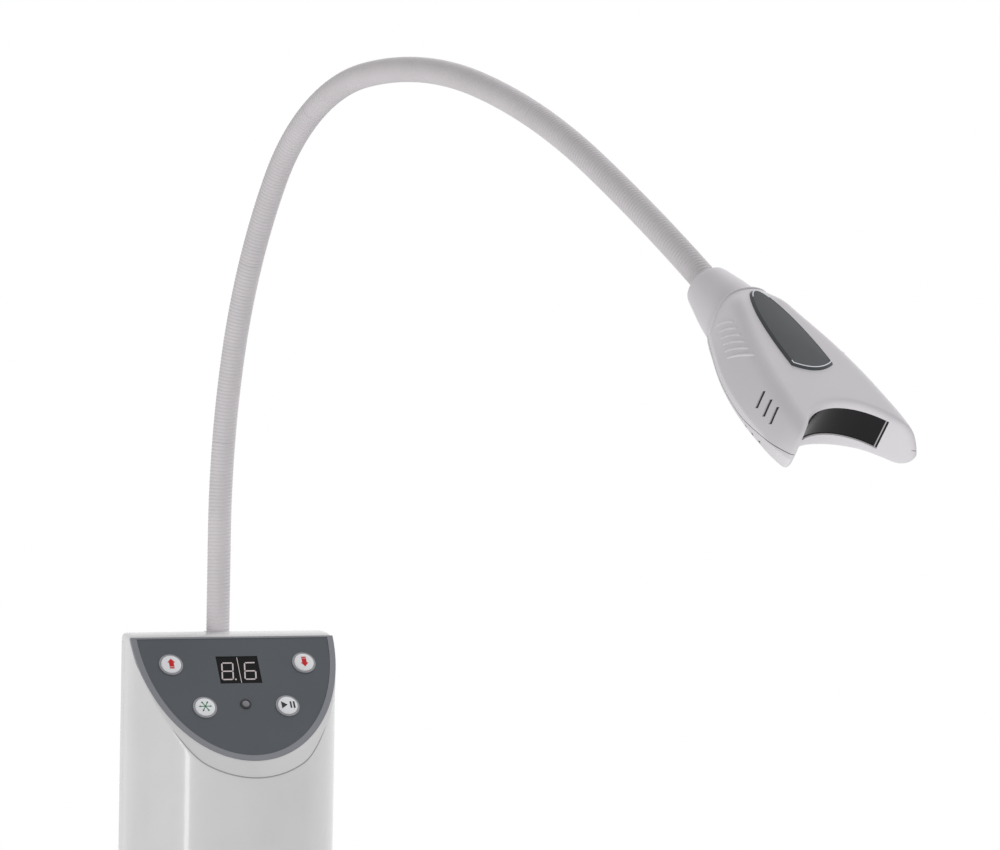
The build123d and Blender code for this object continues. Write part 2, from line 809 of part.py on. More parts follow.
side_points = [side_back, side_flank, side_wide, side_most, side_fore, side_tip, side_end]
roof_points = [roof_back, roof_flank, roof_wide, roof_most, roof_fore, roof_tip, roof_end]
floor_points = [floor_back, floor_flank, floor_wide, floor_most, floor_fore, floor_tip, floor_end]
crease_drop = 2.4
crease_out = 1.2
crease_in = 2.6


def round_hood(end_radius, grow, keep):
    """The round hood over the collar, on one side of the parting line."""
    with BuildPart() as hood:
        with Locations(Plane.YZ.offset(hood_start_x).location):
            Cone(
                hood_start_radius + grow,
                end_radius + grow,
                hood_end_x - hood_start_x,
                align=(Align.CENTER, Align.CENTER, Align.MIN),
            )
        with Locations((0, 0, parting_z)):
            Box(big, big, big, align=(Align.CENTER, Align.CENTER, keep), mode=Mode.INTERSECT)
    return hood.part


def upper_form(grow, lift):
    """The upper half of the head as one solid, with a soft crease round its top."""
    with BuildPart() as form:
        add(leaf_sketch(Plane.XY.offset(parting_z), side_points, grow))
        add(leaf_sketch(roof_plane.offset(lift - crease_drop), roof_points, grow + crease_out))
        add(leaf_sketch(roof_plane.offset(lift), roof_points, grow - crease_in))
        loft(ruled=True)
        add(round_hood(hood_end_radius, grow, Align.MIN))
    return form.part


def lower_form(grow, lift):
    """The lower tray of the head as one solid."""
    with BuildPart() as form:
        add(leaf_sketch(Plane.XY.offset(parting_z), side_points, grow))
        add(leaf_sketch(Plane.XY.offset(head_floor_z + lift), floor_points, grow))
        loft(ruled=True)
        add(round_hood(hood_low_radius, grow, Align.MAX))
    return form.part


def mouth_form(radius):
    """What the mouth takes away: an arc whose ends flare out to the tips."""
    turn = radians(flare_angle)
    first = (mouth_x - mouth_radius * cos(turn), mouth_radius * sin(turn))
    run = Vector(flare_end[0] - first[0], flare_end[1] - first[1]).normalized()
    out = radius - mouth_radius
    start = (mouth_x - radius * cos(turn), radius * sin(turn))
    end = (flare_end[0] - out * run.Y + big * run.X, flare_end[1] + out * run.X + big * run.Y)
    with BuildPart() as mouth:
        with BuildSketch(Plane.XY.offset(-big)):
            with BuildLine():
                ThreePointArc(mirrored(start), (mouth_x - radius, 0), start)
                Polyline(start, end, mirrored(end), mirrored(start))
            make_face()
        extrude(amount=2 * big)
    return mouth.part


def hollowed(inner):
    """What is cut from a shell: its inner form, kept off the mouth's wall, the hood's mouth and the tips."""
    with BuildPart() as hollow:
        add(inner)
        add(mouth_form(mouth_wall), mode=Mode.SUBTRACT)
        with Locations((hood_start_x + 2 * head_wall, 0, 0)):
            Box(
                roof_end[0] - tip_wall - hood_start_x - 2 * head_wall,
                big,
                big,
                align=(Align.MIN, Align.CENTER, Align.CENTER),
                mode=Mode.INTERSECT,
            )
    return hollow.part


def boss_columns(amount, limit):
    """Screw bosses from the parting line into a shell, ended inside its skin."""
    with BuildPart() as columns:
        with BuildSketch(Plane.XY.offset(parting_z)):
            with Locations(*head_boss_places):
                Circle(boss_radius)
        extrude(amount=amount)
        add(limit, mode=Mode.INTERSECT)
    return columns.part


def grip_ridges():
    """Low ridges across both flanks of the upper shell."""
    with BuildPart() as slabs:
        for i in range(ridge_count):
            for side in (-1, 1):
                with Locations((ridge_start + i * ridge_pitch, side * ridge_low_y, ridge_low)):
                    with Locations(Rotation(0, ridge_lean, 0)):
                        Box(
                            ridge_width,
                            big,
                            ridge_length,
                            align=(Align.CENTER, Align.MIN if side > 0 else Align.MAX, Align.MIN),
                        )
        add(upper_form(ridge_proud, 0), mode=Mode.INTERSECT)
    return slabs.part


window_seat = mouth_radius + 0.4 * window_thickness
mouth_wall = window_seat + window_thickness + head_wall


def arc_strip(inner, outer, low, high, sweep_half):
    """A strip of a tube round the mouth's axis, open towards the front."""
    with BuildPart() as strip:
        with BuildSketch(Plane.XY.offset(low)):
            with Locations((mouth_x, 0)):
                Circle(outer)
                Circle(inner, mode=Mode.SUBTRACT)
        extrude(amount=high - low)
        with BuildSketch(Plane.XY.offset(low)):
            with BuildLine():
                reach = 2 * outer
                Polyline(
                    (mouth_x, 0),
                    (mouth_x - reach * cos(radians(sweep_half)), reach * sin(radians(sweep_half))),
                    (mouth_x - reach, reach * sin(radians(sweep_half))),
                    (mouth_x - reach, -reach * sin(radians(sweep_half))),
                    (mouth_x - reach * cos(radians(sweep_half)), -reach * sin(radians(sweep_half))),
                    close=True,
                )
            make_face()
        extrude(amount=high - low, mode=Mode.INTERSECT)
    return strip.part


def placed(part, name):
    """Move a piece from the head's frame to the lamp's, then write it out."""
    moved = part.moved(head_plane.location)
    moved.label = name
    export_step(moved, "parts/%s.step" % name)
    return moved


ridge_count = 6
ridge_start = 44
ridge_pitch = 4.2
ridge_width = 1.2
ridge_proud = 0.6
ridge_low = 2.5
ridge_length = 9.5
ridge_lean = 40
slot_xs = [103.5, 109.5, 115.5]
slot_width = 1.6
slot_length = 8
slot_z = 4
shield_tip_x = 35.5
shield_shoulder = (40.5, 6)
shield_neck = (50, 10)
shield_side = (71, 12.8)
shield_wide = (90, 13)
shield_end_x = 95.5
shield_depth = 0.9
shield_frame = 1.4
shield_frame_proud = 0.4
shield_plate_proud = 0.1
slot_lean = 31
lower_slot_xs = [107, 113, 119]
lower_slot_y = -39
lower_slot_length = 3
lower_slot_z = -8
boss_radius = 3
head_boss_places = [(60, 17), (60, -17), (115.5, 28.5), (115.5, -28.5)]
head_screw_radius = 1.2
head_screw_head_radius = 2.4
head_screw_head = 1.6
mouth_high_z = 11
mouth_rim = 2
tip_wall = 3
wire_radius = 4

ridge_low_y = 15
slot_out_y = 36
slot_deep = 12
window_lip = 1
hood_back = Plane.YZ.offset(hood_start_x)
collar_clear = collar_end_radius + 2 * fit


def shield_prism(inset, low, height):
    """The shield's outline on the roof, drawn inwards by inset and raised from low."""
    with BuildPart() as prism:
        with BuildSketch(roof_plane.offset(low)):
            with BuildLine():
                ThreePointArc((shield_tip_x, 0), shield_shoulder, shield_neck)
                ThreePointArc(shield_neck, shield_side, shield_wide)
                ThreePointArc(shield_wide, (shield_end_x, 0), mirrored(shield_wide))
                ThreePointArc(mirrored(shield_wide), mirrored(shield_side), mirrored(shield_neck))
                ThreePointArc(mirrored(shield_neck), mirrored(shield_shoulder), (shield_tip_x, 0))
            make_face()
            if inset:
                offset(amount=-inset)
        extrude(amount=height)
    return prism.part


with BuildPart() as upper_shell:
    add(upper_form(0, 0))
    add(grip_ridges())
    add(hollowed(upper_form(-head_wall, -head_wall)), mode=Mode.SUBTRACT)
    add(boss_columns(big, upper_form(-head_wall / 2, -head_wall / 2)))
    with BuildSketch(Plane.XY.offset(parting_z)):
        with Locations(*head_boss_places):
            Circle(head_screw_radius)
    extrude(amount=boss_radius * 2, mode=Mode.SUBTRACT)
    # The arched mouth, its rim and the seat of the light window.
    add(mouth_form(mouth_radius), mode=Mode.SUBTRACT)
    with Locations((mouth_x, 0, mouth_high_z)):
        Cone(
            mouth_radius,
            mouth_radius + 2 * mouth_rim,
            2 * mouth_rim,
            align=(Align.CENTER, Align.CENTER, Align.MIN),
            mode=Mode.SUBTRACT,
        )
    add(
        arc_strip(window_seat - fit, window_seat + window_thickness + fit, parting_z - wall,
                  window_high_z + fit, window_sweep + 1),
        mode=Mode.SUBTRACT,
    )
    add(
        arc_strip(mouth_radius - wall, window_seat + 3 * wall, parting_z - wall,
                  window_high_z - window_lip, window_sweep - 2),
        mode=Mode.SUBTRACT,
    )
    # Side vents, the seat of the collar and the pocket of the shield.
    for x in slot_xs:
        for side in (-1, 1):
            with Locations(Location((x, side * slot_out_y, slot_z), (90, 0, 0))):
                with Locations(Rotation(0, 0, slot_lean)):
                    Box(slot_width, slot_length, slot_deep, mode=Mode.SUBTRACT)
    with Locations(hood_back.location):
        Cylinder(
            collar_clear, 6 * head_wall, align=(Align.CENTER, Align.CENTER, Align.MIN), mode=Mode.SUBTRACT
        )
    add(shield_prism(0, -shield_depth, 2 * shield_depth), mode=Mode.SUBTRACT)
placed(upper_shell.part, "head_upper_shell")

with BuildPart() as lower_shell:
    add(lower_form(0, 0))
    add(hollowed(lower_form(-head_wall, head_wall)), mode=Mode.SUBTRACT)
    add(boss_columns(-big, lower_form(-head_wall / 2, head_wall / 2)))
    with BuildSketch(Plane.XY.offset(parting_z)):
        with Locations(*head_boss_places):
            Circle(head_screw_radius + fit)
    extrude(amount=-big, mode=Mode.SUBTRACT)
    with BuildSketch(Plane.XY.offset(head_floor_z)):
        with Locations(*head_boss_places):
            Circle(head_screw_head_radius + 2 * fit)
    extrude(amount=head_screw_head, mode=Mode.SUBTRACT)
    add(mouth_form(mouth_radius), mode=Mode.SUBTRACT)
    add(
        arc_strip(window_seat - fit, window_seat + window_thickness + fit, window_low_z - fit,
                  0, window_sweep + 1),
        mode=Mode.SUBTRACT,
    )
    add(
        arc_strip(mouth_radius - wall, window_seat + 3 * wall, window_low_z + window_lip,
                  0, window_sweep - 2),
        mode=Mode.SUBTRACT,
    )
    with Locations(hood_back.location):
        Cylinder(
            collar_clear, 6 * head_wall, align=(Align.CENTER, Align.CENTER, Align.MIN), mode=Mode.SUBTRACT
        )
    for x in lower_slot_xs:
        for side in (-1, 1):
            with Locations((x, -side * lower_slot_y, lower_slot_z)):
                Box(lower_slot_length, slot_deep, slot_width, mode=Mode.SUBTRACT)
placed(lower_shell.part, "head_lower_shell")

with BuildPart() as head_screws:
    with BuildSketch(Plane.XY.offset(head_floor_z)):
        with Locations(*head_boss_places):
            Circle(head_screw_head_radius)
    extrude(amount=head_screw_head)
    with BuildSketch(Plane.XY.offset(head_floor_z)):
        with Locations(*head_boss_places):
            Circle(head_screw_radius)
    extrude(amount=parting_z - head_floor_z + boss_radius)
placed(head_screws.part, "head_screws")

with BuildPart() as head_collar:
    with Locations(Plane.YZ.location):
        Cone(
            collar_foot_radius,
            collar_end_radius,
            hood_start_x,
            align=(Align.CENTER, Align.CENTER, Align.MIN),
        )
    with Locations(hood_back.location):
        Cylinder(
            collar_end_radius,
            collar_length - hood_start_x,
            align=(Align.CENTER, Align.CENTER, Align.MIN),
        )
    with Locations(Plane.YZ.location):
        Cylinder(
            neck_radius + fit,
            collar_bore_depth,
            align=(Align.CENTER, Align.CENTER, Align.MIN),
            mode=Mode.SUBTRACT,
        )
        Cylinder(
            wire_radius,
            collar_length,
            align=(Align.CENTER, Align.CENTER, Align.MIN),
            mode=Mode.SUBTRACT,
        )
placed(head_collar.part, "head_collar")

with BuildPart() as shield_ring:
    add(shield_prism(fit, -shield_depth, shield_depth + shield_frame_proud))
    add(shield_prism(shield_frame, -2 * shield_depth, 4 * shield_depth), mode=Mode.SUBTRACT)
placed(shield_ring.part, "shield_frame")

with BuildPart() as shield_plate:
    add(shield_prism(shield_frame + fit, -shield_depth, shield_depth + shield_plate_proud))
placed(shield_plate.part, "shield_plate")

with BuildPart() as light_window:
    add(arc_strip(window_seat, window_seat + window_thickness, window_low_z, window_high_z, window_sweep))
placed(light_window.part, "light_window")

# Behind the window: a trough of white reflector, the strip of lights and its heat sink.
reflector_inner = window_seat + window_thickness + 2 * fit
reflector_outer = reflector_inner + 3.6
reflector_skin = 1
reflector_low = window_low_z + 2 * window_lip
reflector_high = window_high_z - 2 * window_lip
reflector_sweep = window_sweep - 11
light_count = 7
light_pitch = 12
light_radius = 1.7
light_length = 1.6
strip_thickness = 1.2
with BuildPart() as reflector:
    add(arc_strip(reflector_inner, reflector_outer, reflector_low, reflector_high, reflector_sweep))
    add(
        arc_strip(
            mouth_radius,
            reflector_outer - reflector_skin,
            reflector_low + reflector_skin,
            reflector_high - reflector_skin,
            reflector_sweep + 1,
        ),
        mode=Mode.SUBTRACT,
    )
    middle_z = (reflector_low + reflector_high) / 2
    for i in range(light_count):
        turn = light_pitch * (i - (light_count - 1) / 2)
        with Locations(Location((mouth_x, 0, middle_z), (0, -90, 0))):
            with Locations(Rotation(turn, 0, 0)):
                Cylinder(
                    light_radius + 2 * fit,
                    reflector_outer + reflector_skin,
                    align=(Align.CENTER, Align.CENTER, Align.MIN),
                    mode=Mode.SUBTRACT,
                )
placed(reflector.part, "reflector")

with BuildPart() as light_strip:
    add(
        arc_strip(
            reflector_outer + fit,
            reflector_outer + fit + strip_thickness,
            reflector_low,
            reflector_high,
            reflector_sweep,
        )
    )
    for i in range(light_count):
        turn = light_pitch * (i - (light_count - 1) / 2)
        with Locations(Location((mouth_x, 0, middle_z), (0, -90, 0))):
            with Locations(Rotation(turn, 0, 0)):
                with Locations((0, 0, reflector_outer - light_length)):
                    Cylinder(
                        light_radius,
                        light_length + strip_thickness,
                        align=(Align.CENTER, Align.CENTER, Align.MIN),
                    )
placed(light_strip.part, "light_strip")

sink_front_x = 112
sink_root_x = 98
sink_back_x = 82
sink_half_width = 18
fin_count = 7
fin_width = 1.6
with BuildPart() as heat_sink:
    with Locations((sink_root_x, 0, middle_z)):
        Box(
            sink_front_x - sink_root_x,
            2 * sink_half_width,
            reflector_high - reflector_low,
            align=(Align.MIN, Align.CENTER, Align.CENTER),
        )
    with Locations((sink_back_x, 0, middle_z)):
        with GridLocations(0, (2 * sink_half_width - fin_width) / (fin_count - 1), 1, fin_count):
            Box(
                sink_root_x - sink_back_x,
                fin_width,
                reflector_high - reflector_low,
                align=(Align.MIN, Align.CENTER, Align.CENTER),
            )
    with Locations((mouth_x, 0, 0)):
        Cylinder(reflector_outer + 2 * fit + strip_thickness, big, mode=Mode.SUBTRACT)
placed(heat_sink.part, "heat_sink")

# Cooling fan across the narrow part of the head.
fan_x = 58
fan_side = 25
fan_depth = 8
fan_z = 0.9
fan_bore = 11.2
fan_hub = 5
fan_blades = 7
fan_blade = 1
fan_blade_reach = 10.6
fan_pitch = 35
fan_pin = 1
with BuildPart() as fan_frame:
    with Locations((fan_x, 0, fan_z)):
        Box(fan_depth, fan_side, fan_side, align=(Align.MIN, Align.CENTER, Align.CENTER))
        with Locations(Rotation(0, 90, 0)):
            Cylinder(fan_bore, 3 * fan_depth, mode=Mode.SUBTRACT)
    with Locations((fan_x, 0, fan_z)):
        Box(fan_blade, fan_side - fan_blade, 2 * fan_blade, align=(Align.MIN, Align.CENTER, Align.CENTER))
        with Locations(Rotation(0, 90, 0)):
            Cylinder(fan_hub, fan_blade, align=(Align.CENTER, Align.CENTER, Align.MIN))
            Cylinder(fan_pin, fan_depth - fan_blade, align=(Align.CENTER, Align.CENTER, Align.MIN))
placed(fan_frame.part, "fan_frame")

with BuildPart() as fan_rotor:
    with Locations((fan_x + fan_blade + 2 * fit, 0, fan_z)):
        with Locations(Rotation(0, 90, 0)):
            Cylinder(fan_hub, fan_depth - 2 * fan_blade, align=(Align.CENTER, Align.CENTER, Align.MIN))
        for i in range(fan_blades):
            blade_seat = Location((fan_depth / 2 - fan_blade, 0, fan_hub - fan_blade), (0, 0, fan_pitch))
            with Locations(Rotation(360 / fan_blades * i, 0, 0)):
                with Locations(blade_seat):
                    Box(
                        fan_depth - 4 * fan_blade,
                        fan_blade,
                        fan_blade_reach - fan_hub + fan_blade,
                        align=(Align.CENTER, Align.CENTER, Align.MIN),
                    )
        with Locations(Rotation(0, 90, 0)):
            Cylinder(
                fan_pin + fit,
                fan_depth - fan_blade + fit,
                align=(Align.CENTER, Align.CENTER, Align.MIN),
                mode=Mode.SUBTRACT,
            )
placed(fan_rotor.part, "fan_rotor")
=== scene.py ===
import math

import bmesh
import bpy
import numpy as np
from mathutils import Matrix, Vector


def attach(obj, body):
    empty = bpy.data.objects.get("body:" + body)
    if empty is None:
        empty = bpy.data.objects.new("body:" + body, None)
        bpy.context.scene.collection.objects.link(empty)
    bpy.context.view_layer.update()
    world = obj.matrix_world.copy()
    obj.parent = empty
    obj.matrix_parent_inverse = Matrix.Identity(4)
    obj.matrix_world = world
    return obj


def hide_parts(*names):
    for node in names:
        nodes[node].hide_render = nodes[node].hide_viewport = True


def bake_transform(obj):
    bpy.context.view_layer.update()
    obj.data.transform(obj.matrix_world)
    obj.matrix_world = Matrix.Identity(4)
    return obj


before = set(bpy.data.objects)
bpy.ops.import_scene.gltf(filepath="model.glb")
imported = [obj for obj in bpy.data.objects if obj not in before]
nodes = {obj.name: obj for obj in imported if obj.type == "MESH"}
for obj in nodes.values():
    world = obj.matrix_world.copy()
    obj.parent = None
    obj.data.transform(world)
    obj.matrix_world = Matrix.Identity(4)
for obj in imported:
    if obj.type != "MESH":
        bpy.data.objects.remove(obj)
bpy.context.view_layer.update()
scene = bpy.context.scene
scene.view_settings.view_transform = "Standard"
print("frame loaded:", len(nodes), "nodes")


def tint(red, green, blue):
    # a colour given from 0 to 255, as the shader wants it
    steps = [c / 255 for c in (red, green, blue)]
    return tuple(c / 12.92 if c <= 0.04045 else ((c + 0.055) / 1.055) ** 2.4 for c in steps)


class Wire:
    def __init__(self, tree, socket=None):
        self.tree = tree
        self.socket = socket

    def node(self, kind, settings=None, values=None, out=0):
        made = self.tree.nodes.new("ShaderNode" + kind)
        for key, value in (settings or {}).items():
            if key == "stops":
                stops = made.color_ramp.elements
                for i, (place, shade) in enumerate(value):
                    stop = stops[i] if i < 2 else stops.new(place)
                    stop.position = place
                    stop.color = (*shade, 1) if isinstance(shade, tuple) else (shade, shade, shade, 1)
            else:
                setattr(made, key, value)
        for key, value in (values or {}).items():
            if isinstance(value, Wire):
                self.tree.links.new(value.socket, made.inputs[key])
            else:
                made.inputs[key].default_value = value
        return Wire(self.tree, made.outputs[out] if made.outputs else None)

    def math(self, operation, *values):
        return self.node("Math", {"operation": operation}, dict(enumerate(values)))

    def __add__(self, other):
        return self.math("ADD", self, other)

    def __radd__(self, other):
        return self.math("ADD", other, self)

    def __sub__(self, other):
        return self.math("SUBTRACT", self, other)

    def __rsub__(self, other):
        return self.math("SUBTRACT", other, self)

    def __mul__(self, other):
        return self.math("MULTIPLY", self, other)

    def __rmul__(self, other):
        return self.math("MULTIPLY", other, self)

    def blend(self, low, high):
        # from one colour to another as this value goes from 0 to 1
        ends = [c if isinstance(c, Wire) else (*c, 1) for c in (low, high)]
        return self.node("Mix", {"data_type": "RGBA"}, {0: self, 6: ends[0], 7: ends[1]}, out=2)


def newShader(name):
    made = bpy.data.materials.new(name)
    made.use_nodes = True
    shader = made.node_tree.nodes["Principled BSDF"]
    here = Wire(made.node_tree).node("TexCoord", out=3)
    return made, shader, here


def feed(shader, **links):
    # varying inputs: Base_Color=wire and so on
    for key, wire in links.items():
        wire.tree.links.new(wire.socket, shader.inputs[key.replace("_", " ")])


def moulded(name, own):
    # plastic, paint or film: a little tone, a little gloss change and a fine grain
    look = {"cloud": 35, "tone": 0.05, "glossChange": 0.12, "fine": 2600, "fineGloss": 0.06, "grain": 0.12,
            "grainDeep": 0.0002, "sockets": {}, **own}
    made, shader, here = newShader(name)
    cloud = here.node("TexNoise", None, {"Vector": here, "Scale": look["cloud"], "Detail": 3.0})
    fine = here.node("TexNoise", None, {"Vector": here, "Scale": look["fine"], "Detail": 2.0})
    dark = tuple(c * (1 - look["tone"]) for c in look["colour"])
    ramp = cloud.node("ValToRGB", {"stops": [(0.35, 0.0), (0.65, 1.0)]}, {"Fac": cloud})
    shade = ramp.blend(dark, look["colour"])
    rough = (cloud - 0.5) * look["glossChange"] + (fine - 0.5) * look["fineGloss"] + look["rough"]
    bump = fine.node("Bump", None, {"Height": fine, "Strength": look["grain"], "Distance": look["grainDeep"]})
    feed(shader, Base_Color=shade, Roughness=rough, Normal=bump)
    for key, value in look["sockets"].items():
        shader.inputs[key].default_value = value
    return made


def brushed(name, own):
    # turned or rolled metal, with fine lines along the stretched way
    look = {"stretch": (1, 1, 12), "lines": 500, "tone": 0.18, "glossChange": 0.2, "grain": 0.15,
            "grainDeep": 0.0001, **own}
    made, shader, here = newShader(name)
    stretch = here.node("Mapping", None, {"Vector": here, "Scale": look["stretch"]})
    lines = here.node("TexNoise", None, {"Vector": stretch, "Scale": look["lines"], "Detail": 4.0})
    dark = tuple(c * (1 - look["tone"]) for c in look["colour"])
    rough = (lines - 0.5) * look["glossChange"] + look["rough"]
    bump = lines.node("Bump", None,
                      {"Height": lines, "Strength": look["grain"], "Distance": look["grainDeep"]})
    feed(shader, Base_Color=lines.blend(dark, look["colour"]), Roughness=rough, Normal=bump)
    shader.inputs["Metallic"].default_value = 1.0
    return made


finishes = {
    "boxPlastic": {"colour": tint(214, 213, 214), "rough": 0.24, "tone": 0.03, "grain": 0.04,
                   "sockets": {"Coat Weight": 0.5, "Coat Roughness": 0.06}},
    # grey for the painted shade line under the band
    "seamGrey": {"colour": tint(150, 149, 151), "rough": 0.4},
    "panelFilm": {"colour": tint(74, 79, 84), "rough": 0.4, "tone": 0.06, "grain": 0.2},
    "bezelGrey": {"colour": tint(128, 129, 135), "rough": 0.36, "tone": 0.05},
    "digitBlack": {"colour": tint(14, 13, 15), "rough": 0.25, "tone": 0.3, "grain": 0.02,
                   "sockets": {"Specular IOR Level": 0.15}},
    "segmentPale": {"colour": tint(206, 196, 196), "rough": 0.4, "tone": 0.08},
    "keyWhite": {"colour": tint(226, 227, 230), "rough": 0.32, "tone": 0.03},
    "ringGrey": {"colour": tint(150, 150, 155), "rough": 0.3, "tone": 0.05},
    "inkRed": {"colour": tint(196, 18, 24), "rough": 0.5, "tone": 0.12},
    "inkGreen": {"colour": tint(36, 106, 66), "rough": 0.5, "tone": 0.12},
    "inkBlack": {"colour": tint(24, 24, 28), "rough": 0.5, "tone": 0.2},
    "neckSkin": {"colour": tint(217, 213, 216), "rough": 0.5, "tone": 0.05, "grain": 0.08,
                 "sockets": {"Specular IOR Level": 0.3}},
    "headPlastic": {"colour": tint(222, 219, 223), "rough": 0.42, "tone": 0.03, "grain": 0,
                    "sockets": {"Specular IOR Level": 0.3}},
    "shieldDark": {"colour": tint(62, 66, 71), "rough": 0.2, "tone": 0.15, "grain": 0.01,
                   "sockets": {"Specular IOR Level": 0.4}},
    "windowDark": {"colour": tint(16, 11, 16), "rough": 0.1, "tone": 0.4, "grain": 0.01,
                   "sockets": {"Specular IOR Level": 0.25}},
    "lensSilver": {"colour": tint(142, 142, 150), "rough": 0.12, "tone": 0.35, "grain": 0.02},
    "windowEdge": {"colour": tint(176, 172, 174), "rough": 0.16, "tone": 0.2, "grain": 0.02},
    "blackPlastic": {"colour": tint(34, 34, 36), "rough": 0.42, "tone": 0.12, "grain": 0.3},
    "boardGreen": {"colour": tint(30, 84, 52), "rough": 0.4, "tone": 0.15},
    "reflectorWhite": {"colour": tint(232, 232, 230), "rough": 0.3, "tone": 0.03},
    "lightBoard": {"colour": tint(226, 226, 218), "rough": 0.4, "tone": 0.05},
}
mats = {name: moulded(name, look) for name, look in finishes.items()}
metals = {
    "screwSteel": {"colour": tint(176, 176, 178), "rough": 0.3},
    "nutSteel": {"colour": tint(186, 184, 178), "rough": 0.36},
    "collarMetal": {"colour": tint(196, 197, 199), "rough": 0.34, "stretch": (1, 1, 40)},
    # bright metal painted on the shield's rim as its edge highlight
    "shieldRimPaintedHighlight": {"colour": tint(214, 216, 220), "rough": 0.16, "lines": 900},
    "sinkAluminium": {"colour": tint(190, 192, 195), "rough": 0.4},
}
mats.update({name: brushed(name, look) for name, look in metals.items()})
print("materials:", len(mats))

# What finish each CAD node gets. Further down, a finer piece stands for some of them.
nodeFinish = {
    "boxPlastic": ["front_housing", "rear_cover", "neck_flange"],
    "panelFilm": ["panel_faceplate"],
    "bezelGrey": ["panel_bezel"],
    "digitBlack": ["digit_tens", "digit_units"],
    "keyWhite": ["button_up", "button_down", "button_start", "button_pause"],
    "ringGrey": ["ring_up", "ring_down", "ring_start", "ring_pause"],
    "blackPlastic": ["indicator_lens", "display_header", "power_inlet", "rocker_body", "rocker",
                     "power_module", "clamp_knob", "fan_frame", "fan_rotor"],
    "boardGreen": ["control_board", "power_board"],
    "screwSteel": ["cover_screws", "board_screws", "collar_screws", "head_screws"],
    "collarMetal": ["pole_collar"],
    "nutSteel": ["neck_nut"],
    "neckSkin": ["neck_link_%d" % i for i in range(7)],
    "headPlastic": ["head_collar", "head_upper_shell", "head_lower_shell"],
    "shieldDark": ["shield_plate"],
    "shieldRimPaintedHighlight": ["shield_frame"],
    "windowDark": ["light_window"],
    "reflectorWhite": ["reflector"],
    "lightBoard": ["light_strip"],
    "sinkAluminium": ["heat_sink"],
}
for finishName, names in nodeFinish.items():
    for name in names:
        slots = nodes[name].data.materials
        slots.clear()
        slots.append(mats[finishName])
print("CAD nodes painted:", sum(len(names) for names in nodeFinish.values()))


# Everything below is in metres in the part's own frame, unless a line says millimetres.
milli = 0.001


def linked(name, data):
    # an object in the scene for a mesh, a lamp or the camera
    made = bpy.data.objects.new(name, data)
    scene.collection.objects.link(made)
    return made


def meshOf(name, verts, faces):
    mesh = bpy.data.meshes.new(name)
    mesh.from_pydata([tuple(v) for v in verts], [], [tuple(f) for f in faces])
    return mesh


def smooth(mesh, sharp):
    # smooth shading, crisp where faces meet at more than this many degrees
    for polygon in mesh.polygons:
        polygon.use_smooth = True
    mesh.set_sharp_from_angle(angle=math.radians(sharp))


def piece(name, verts, faces, finish, body=None, *, sharp, bend=None):
    # a mesh piece with its finish, on a body; given a bend, it is only set in place and left on no body
    mesh = meshOf(name, verts, faces)
    mesh.update()
    smooth(mesh, sharp)
    made = linked(name, mesh)
    for one in (finish if isinstance(finish, list) else [finish]):
        mesh.materials.append(mats[one])
    if bend:
        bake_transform(made)
    else:
        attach(made, body)
    return made


def tubeRings(rings, capped=True):
    # verts and quads through rings of equal length, with closed ends
    count = len(rings[0])
    verts = [p for ring in rings for p in ring]
    faces = []
    for r in range(len(rings) - 1):
        for i in range(count):
            j = (i + 1) % count
            faces.append((r * count + i, r * count + j, (r + 1) * count + j, (r + 1) * count + i))
    if capped:
        last = (len(rings) - 1) * count
        faces.append(tuple(range(count))[::-1])
        faces.append(tuple(last + i for i in range(count)))
    return verts, faces


def loopRings(rings):
    # the same, with the last ring joined back to the first
    verts, faces = tubeRings(rings, capped=False)
    count = len(rings[0])
    last = len(verts) - count
    faces += [(last + i, last + (i + 1) % count, (i + 1) % count, i) for i in range(count)]
    return verts, faces


def joined(shapes):
    # several (verts, faces) as one
    verts, faces = [], []
    for points, sides in shapes:
        faces += [tuple(i + len(verts) for i in f) for f in sides]
        verts += list(points)
    return verts, faces


def prism(outline, low, high):
    # a closed prism from a flat outline of (x, y) pairs
    return tubeRings([[(x, y, low) for x, y in outline], [(x, y, high) for x, y in outline]])


def circle(middle, radius, parts=48):
    turns = [2 * math.pi * i / parts for i in range(parts)]
    return [(middle[0] + radius * math.cos(t), middle[1] + radius * math.sin(t)) for t in turns]


def rectangle(left, right, low, high):
    return [(left, low), (right, low), (right, high), (left, high)]


def bisect(stillIn, near, far):
    # how far from near towards far something is still in
    for _ in range(40):
        middle = (near + far) / 2
        if stillIn(middle):
            near = middle
        else:
            far = middle
    return near


class NeckLine:
    look = {
        "start": (-0.0045, 0.029, 0.265), "heading": 16, "foot": 0.060, "link": 0.109,
        "turns": [13.4, 19.1, 51.8, 23.0, 14.2, 4.5], "headRoll": 2.2,
    }

    def __init__(self):
        heading = math.radians(self.look["heading"])
        self.out = Vector((math.sin(heading), -math.cos(heading), 0))
        self.across = Vector((math.cos(heading), math.sin(heading), 0))
        foot, link = self.look["foot"], self.look["link"]
        self.joints = [foot + link * i for i in range(len(self.look["turns"]))]
        self.length = foot + link * len(self.look["turns"])

    def at(self, along):
        # the middle of the neck and the way it points, that far from its foot
        place = Vector(self.look["start"])
        lean = math.pi / 2
        rest = along
        step = min(rest, self.look["foot"])
        place += Vector((0, 0, step))
        rest -= step
        for turn in self.look["turns"]:
            if rest <= 0:
                break
            step = min(rest, self.look["link"])
            radius = self.look["link"] / math.radians(turn)
            new = lean - step / radius
            place += self.out * radius * (math.sin(lean) - math.sin(new))
            place += Vector((0, 0, radius * (math.cos(new) - math.cos(lean))))
            lean = new
            rest -= step
        ahead = self.out * math.cos(lean) + Vector((0, 0, math.sin(lean)))
        return place + ahead * max(rest, 0), ahead


